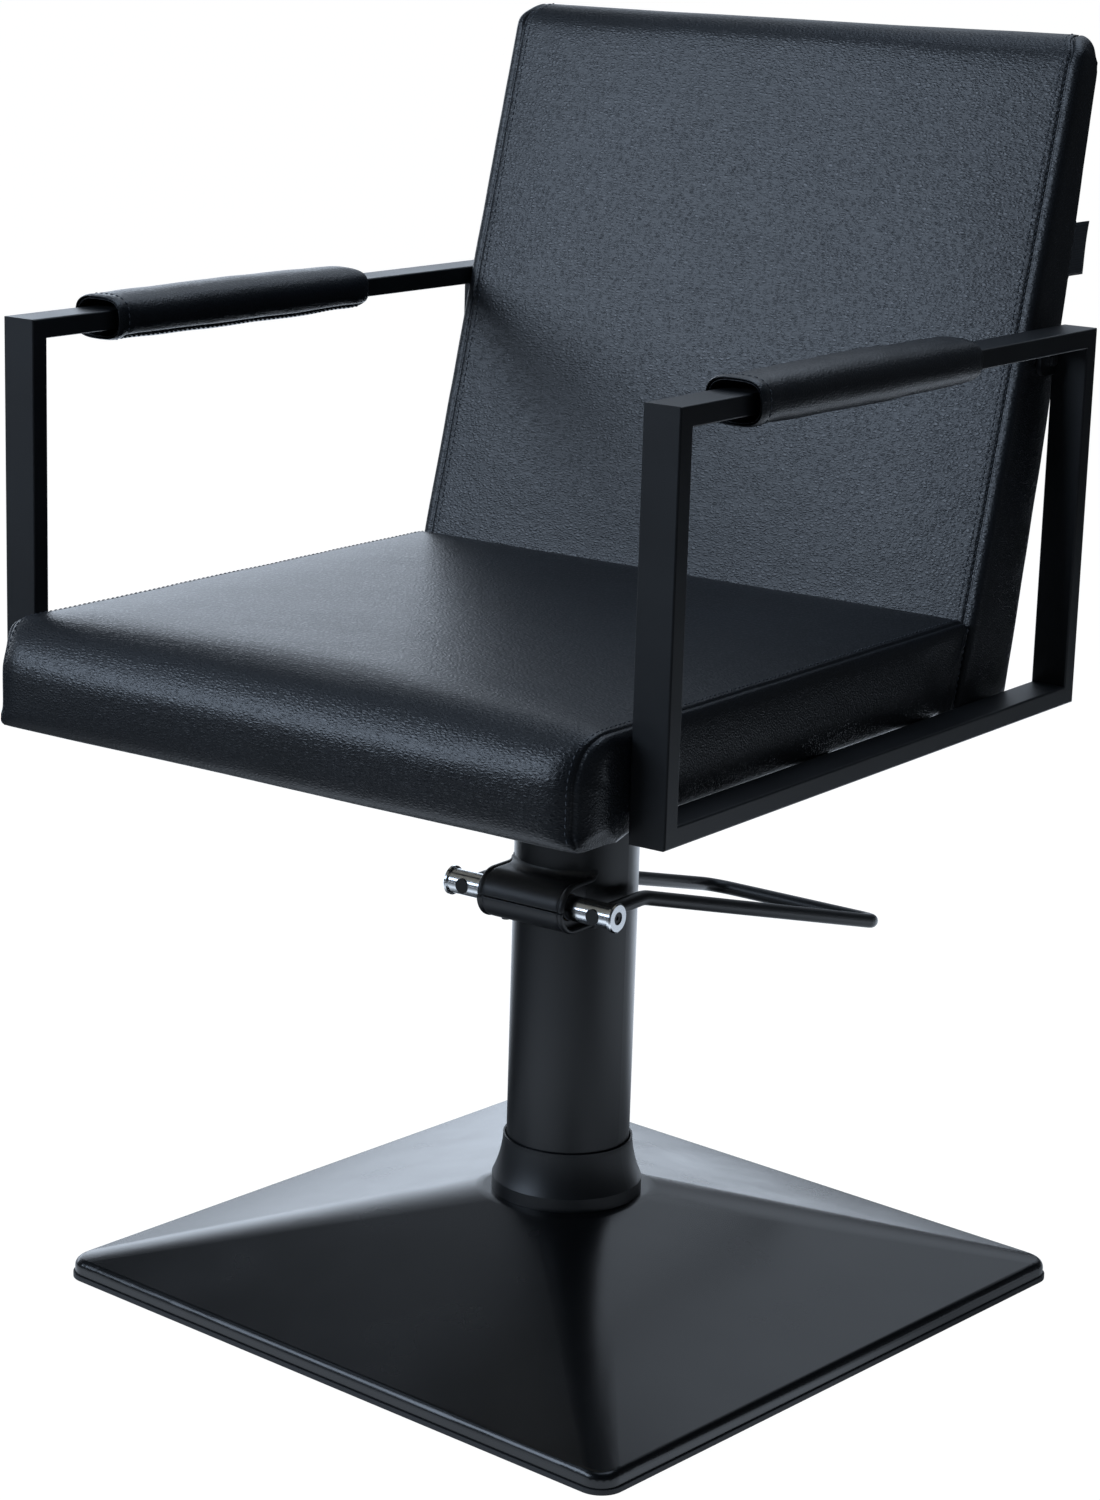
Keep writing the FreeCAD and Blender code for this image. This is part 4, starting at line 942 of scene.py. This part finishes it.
# the lever cover: two moulded halves round the shaft, rimmed at both ends and flared on to the column
cover = {
    "shaftY": -57.5, "shaftZ": 336.0, "r": 19.5, "columnR": 50.2, "split": 0.15, "wall": 1.6, "ledge": 0.8,
    "flareUp": 7.0, "flareDown": 3.5, "shaftR": 10.6, "clearR": 10.2, "closing": 10.0, "insideY": 8.0,
    # the lip at the split: its depth and height, and its points on the way, inwards and upwards
    "lipDepth": 1.9, "lipHeight": 2.0, "lip": [(1.0, 0.0), (0.4, 0.25), (0.05, 0.9)],
    # from the middle outwards: distance along the shaft and how far the skin lies in from the barrel
    "end": [(0, 0), (12, 0), (24, 0), (32, 0), (35.2, 0.05), (36.1, 0.7), (36.9, 0.25), (37.8, -0.35),
            (39.4, -0.5), (40.7, -0.1), (41.4, 1.0), (41.5, 2.0), (41.1, 3.0), (40.0, 3.6), (37.5, 3.8),
            (35.6, 3.9), (35.2, 4.6), (35.2, 6.6), (35.2, 8.4), (35.2, 10.5)],
}


def coverProfile(x, inset, flare, proud):
    # from the split at the front, over the barrel and back to the column, seen along the shaft
    split = cover["split"]
    r = max(cover["r"] - inset + proud, cover["shaftR"])
    # the lip at the split is shallower near the shaft, which it clears
    lip = min(1.0, (r - cover["clearR"]) / cover["lipDepth"])
    points = [(-r + cover["lipDepth"] * lip, split)]
    points += [(-r + inward * lip, split + upward) for inward, upward in cover["lip"]]
    barrel = np.linspace(math.asin(cover["lipHeight"] / r), math.pi / 2, 15)
    points += [(-r * math.cos(t), r * math.sin(t)) for t in barrel]
    wall = -math.sqrt(cover["columnR"] ** 2 - x * x) - cover["shaftY"]
    if inset > cover["closing"]:
        # the last row closes the end behind the shaft, down to the split
        behind = np.linspace(0, math.pi / 2, 5)[1:]
        points += [(r * math.sin(t), max(r * math.cos(t), split)) for t in behind]
        points += [(r + (wall - r) * k / 6, split) for k in range(1, 7)]
        return np.array(points)
    start = wall - flare
    points += [(start * k / 4, r) for k in range(1, 5)]
    for t in np.linspace(0.25, 1.4, 6):
        points.append((start + flare * math.sin(t), r + flare * (1 - math.cos(t))))
    return np.array(points)


def makeCoverHalf(name, up, node):
    flare, proud = (cover["flareUp"], 0.0) if up > 0 else (cover["flareDown"], cover["ledge"])
    rows = []
    for x, inset in [(-x, inset) for x, inset in cover["end"][:0:-1]] + cover["end"]:
        y, z = coverProfile(x, inset, flare, proud).T
        rows.append(np.stack([np.full(len(y), x), cover["shaftY"] + y, cover["shaftZ"] + up * z], 1))
    mesh = meshFromGrids(name, [np.array(rows)])
    turnOutward(mesh, (0, cover["shaftY"] + cover["insideY"], cover["shaftZ"]))
    piece = addObject(mesh, blackPlastic)
    giveWall(piece, cover["wall"])
    subdivide(piece, 2)
    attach(piece, "column")
    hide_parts(node)
    print("cover half:", name, len(piece.data.polygons), "faces")


makeCoverHalf("coverUpperHalf", 1, "lever_cover_upper")
makeCoverHalf("coverLowerHalf", -1, "lever_cover_lower")


def makeSpring():
    mesh = nodes["plunger_spring"].data.copy()
    mesh.name = "plungerSpring"
    piece = addObject(mesh, plainSteel)
    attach(piece, "column")
    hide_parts("plunger_spring")
    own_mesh(piece)


makeSpring()


# the tag: a bare woven ribbon, folded once and sewn into the back's side seam
tag = {
    "width": 25.0, "height": 41.0, "low": 824.0, "x": 267.2, "fold": 0.55, "wall": 0.3, "wave": 0.5,
    "inSeam": -2.5, "waveZ": 11.0, "waveY": 9.0, "middleZ": 845.0, "stitchOff": (0.3, 3.0, 0.0),
}


def makeTag():
    spec = tag
    reach = spec["width"] - spec["fold"]
    # outward layer, the fold, and the layer that comes back
    layer = np.linspace(spec["inSeam"], reach, 9)
    path = [(spec["fold"], d) for d in layer]
    for t in np.linspace(0, math.pi, 7)[1:-1]:
        path.append((spec["fold"] * math.cos(t), reach + spec["fold"] * math.sin(t)))
    path += [(-spec["fold"], d) for d in layer[::-1]]
    rows = []
    for z in np.linspace(spec["low"], spec["low"] + spec["height"], 14):
        row = []
        for x, d in path:
            wave = spec["wave"] * math.sin(z / spec["waveZ"] + d / spec["waveY"]) * max(d, 0) / spec["width"]
            row.append((spec["x"] + x + wave, backRearY(z) + d, z))
        rows.append(row)
    grid = np.array(rows)
    mesh = meshFromGrids("wovenTag", [grid])
    turnOutward(mesh, (spec["x"], backRearY(spec["middleZ"]) + reach / 2, spec["middleZ"]))
    piece = addObject(mesh, wovenRibbon)
    giveWall(piece, spec["wall"])
    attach(piece, "column")
    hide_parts("label_tag")
    stitchLines.append((grid[:, 0] + spec["stitchOff"]) * mm)
    print("tag:", len(piece.data.polygons), "faces")


makeTag()
makeStitches("stitching", "column")


# stage, light and camera
stage = {
    "floorHalf": 60.0, "floorColour": "#f4f4f4", "floorShare": 0.86, "floorWhite": 1.14, "floorDim": 0.04,
    # lit patches of the floor: place, reach of the even part, reach of the soft edge, strength
    "cards": [((-0.9, 1.8, 0.0), 1.25, 1.75, 2.4), ((0.95, 0.4, 0.0), 0.2, 1.0, 1.2),
              ((0.2, -1.0, 0.0), 0.3, 1.3, 0.2), ((-0.5, -0.8, 0.0), 0.2, 0.9, 0.22),
              ((0.05, -0.4, 0.0), 0.4, 0.6, 0.9), ((1.5, -2.0, 0.0), 0.2, 0.9, 0.5),
              ((-2.8, -2.9, 0.0), 0.6, 1.3, 1.6)],
    "backdropColour": "#e4f0ff",
    "backdrop": {"way": (-0.87, 0.5, 0.0), "edge": (0.82, 0.95), "strength": (0.08, 3.3)},
    "backdropHeights": [(0.0, 0.4), (0.12, 1.0), (0.27, 1.0), (0.44, 0.3), (0.62, 0.25), (1.0, 0.12)],
    # a soft panel high behind the chair, which the foot's front faces mirror
    "panel": {"way": (-0.3, 0.72, 0.62), "edge": (0.86, 1.0), "strength": (0.0, 1.0)},
    # soft boxes: place, aim, size, watts
    "lampColour": "#d6e8ff",
    "lamps": {"softboxFrontLeft": ((-2.2, -3.2, 2.2), (0.0, 0.1, 0.8), (2.8, 1.6), 96.0),
              "softboxLeft": ((-2.0, -0.9, 3.0), (0.0, 0.0, 0.4), (1.2, 1.2), 4.0),
              "softboxTop": ((0.2, 0.3, 3.2), (0.0, 0.0, 0.5), (2.4, 2.4), 39.0)},
    "shotPosition": (1.53516, -2.19967, 1.12601), "lens": 83.986, "sensor": 36.0, "farthest": 200.0,
    "azimuth": 35.42, "elevation": 14.247, "roll": 1.717,
}


def makeFloor():
    # pale studio floor: white to the eye, with the soft shadow kept
    half = stage["floorHalf"]
    corners = [(-half, -half, 0), (half, -half, 0), (half, half, 0), (-half, half, 0)]
    floor = bpy.data.meshes.new("floor")
    floor.from_pydata(corners, [], [(0, 1, 2, 3)])
    material, tree, shader = newMaterial("paleFloor", {
        "Base Color": hexLinear(stage["floorColour"]), "Roughness": 0.9, "Specular IOR Level": 0.1})
    paths = addNode(tree, "ShaderNodeLightPath").outputs
    seen = addNode(tree, "ShaderNodeMath", {"operation": "MAXIMUM"},
                   links={0: paths["Is Camera Ray"], 1: paths["Is Transmission Ray"]})
    share = addNode(tree, "ShaderNodeMath", {"operation": "MULTIPLY"}, {1: stage["floorShare"]},
                    {0: seen.outputs[0]})
    white = addNode(tree, "ShaderNodeEmission", values={"Color": grey(1.0), "Strength": stage["floorWhite"]})
    # in reflections it is dim, but for its lit patches
    place = addNode(tree, "ShaderNodeTexCoord").outputs["Object"]
    total = addNode(tree, "ShaderNodeValue")
    total.outputs[0].default_value = stage["floorDim"]
    for spot, even, soft, strength in stage["cards"]:
        near = addNode(tree, "ShaderNodeVectorMath", {"operation": "DISTANCE"}, {1: spot}, {0: place})
        card = addNode(tree, "ShaderNodeMapRange", {"interpolation_type": "SMOOTHSTEP"},
                       {"From Min": even, "From Max": soft, "To Min": strength, "To Max": 0.0},
                       {"Value": near.outputs["Value"]})
        total = addNode(tree, "ShaderNodeMath", {"operation": "ADD"},
                        links={0: total.outputs[0], 1: card.outputs["Result"]})
    lit = addNode(tree, "ShaderNodeEmission", values={"Color": hexLinear(stage["backdropColour"])},
                  links={"Strength": total.outputs[0]})
    glossy = addNode(tree, "ShaderNodeMixShader",
                     links={0: paths["Is Glossy Ray"], 1: shader.outputs[0], 2: lit.outputs[0]})
    output = next(n for n in tree.nodes if n.type == "OUTPUT_MATERIAL")
    addNode(tree, "ShaderNodeMixShader",
            links={0: share.outputs[0], 1: glossy.outputs[0], 2: white.outputs[0]},
            feeds={0: output.inputs["Surface"]})
    piece = addObject(floor, material, smooth=False)


def makeWorld():
    # a bright low backdrop behind the chair, a dark room above it and on the camera's side
    world = bpy.data.worlds.new("studio")
    scene.world = world
    world.use_nodes = True
    tree = world.node_tree
    tree.nodes.clear()
    way = addNode(tree, "ShaderNodeTexCoord").outputs["Generated"]
    parts = addNode(tree, "ShaderNodeSeparateXYZ", links={"Vector": way})
    height = addNode(tree, "ShaderNodeValToRGB", links={"Fac": parts.outputs["Z"]})
    setRamp(height, [(place, grey(value)) for place, value in stage["backdropHeights"]])
    glows = []
    for spec in (stage["backdrop"], stage["panel"]):
        (low, high), (dim, bright) = spec["edge"], spec["strength"]
        toward = addNode(tree, "ShaderNodeVectorMath", {"operation": "DOT_PRODUCT"},
                         {1: spec["way"]}, {0: way})
        glows.append(addNode(tree, "ShaderNodeMapRange", {"interpolation_type": "SMOOTHSTEP"},
                             {"From Min": low, "From Max": high, "To Min": dim, "To Max": bright},
                             {"Value": toward.outputs["Value"]}).outputs["Result"])
    # the backdrop fades by height, and the panel comes on top
    strength = addNode(tree, "ShaderNodeMath", {"operation": "MULTIPLY_ADD"},
                       links={0: glows[0], 1: height.outputs["Color"], 2: glows[1]})
    room = addNode(tree, "ShaderNodeBackground", values={"Color": hexLinear(stage["backdropColour"])},
                   links={"Strength": strength.outputs[0]})
    white = addNode(tree, "ShaderNodeBackground", values={"Color": grey(1.0), "Strength": 1.0})
    paths = addNode(tree, "ShaderNodeLightPath")
    mixed = addNode(tree, "ShaderNodeMixShader",
                    links={0: paths.outputs["Is Camera Ray"], 1: room.outputs[0], 2: white.outputs[0]})
    addNode(tree, "ShaderNodeOutputWorld", links={"Surface": mixed.outputs[0]})


def addLamp(name, place, aim, size, power):
    lamp = bpy.data.lights.new(name, "AREA")
    lamp.shape = "RECTANGLE"
    lamp.size, lamp.size_y = size
    lamp.energy = power
    lamp.color = hexLinear(stage["lampColour"])[:3]
    holder = bpy.data.objects.new(name, lamp)
    scene.collection.objects.link(holder)
    holder.location = place
    holder.rotation_euler = (Vector(aim) - Vector(place)).to_track_quat("-Z", "Y").to_euler()


def makeCamera():
    az, el, roll = (math.radians(stage[k]) for k in ("azimuth", "elevation", "roll"))
    away = Vector((math.sin(az) * math.cos(el), -math.cos(az) * math.cos(el), math.sin(el)))
    right = (-away).cross(Vector((0, 0, 1))).normalized()
    up = right.cross(-away)
    right, up = right * math.cos(roll) + up * math.sin(roll), up * math.cos(roll) - right * math.sin(roll)
    camera = bpy.data.cameras.new("photoCamera")
    camera.lens = stage["lens"]
    camera.sensor_width = stage["sensor"]
    camera.clip_end = stage["farthest"]
    holder = bpy.data.objects.new("photoCamera", camera)
    scene.collection.objects.link(holder)
    turn = Matrix((right, up, away)).transposed().to_4x4()
    holder.matrix_world = Matrix.Translation(Vector(stage["shotPosition"])) @ turn
    scene.camera = holder


makeFloor()
makeWorld()
for name, settings in stage["lamps"].items():
    addLamp(name, *settings)
makeCamera()
scene.view_settings.view_transform = "Standard"
print("stage, light and camera set")
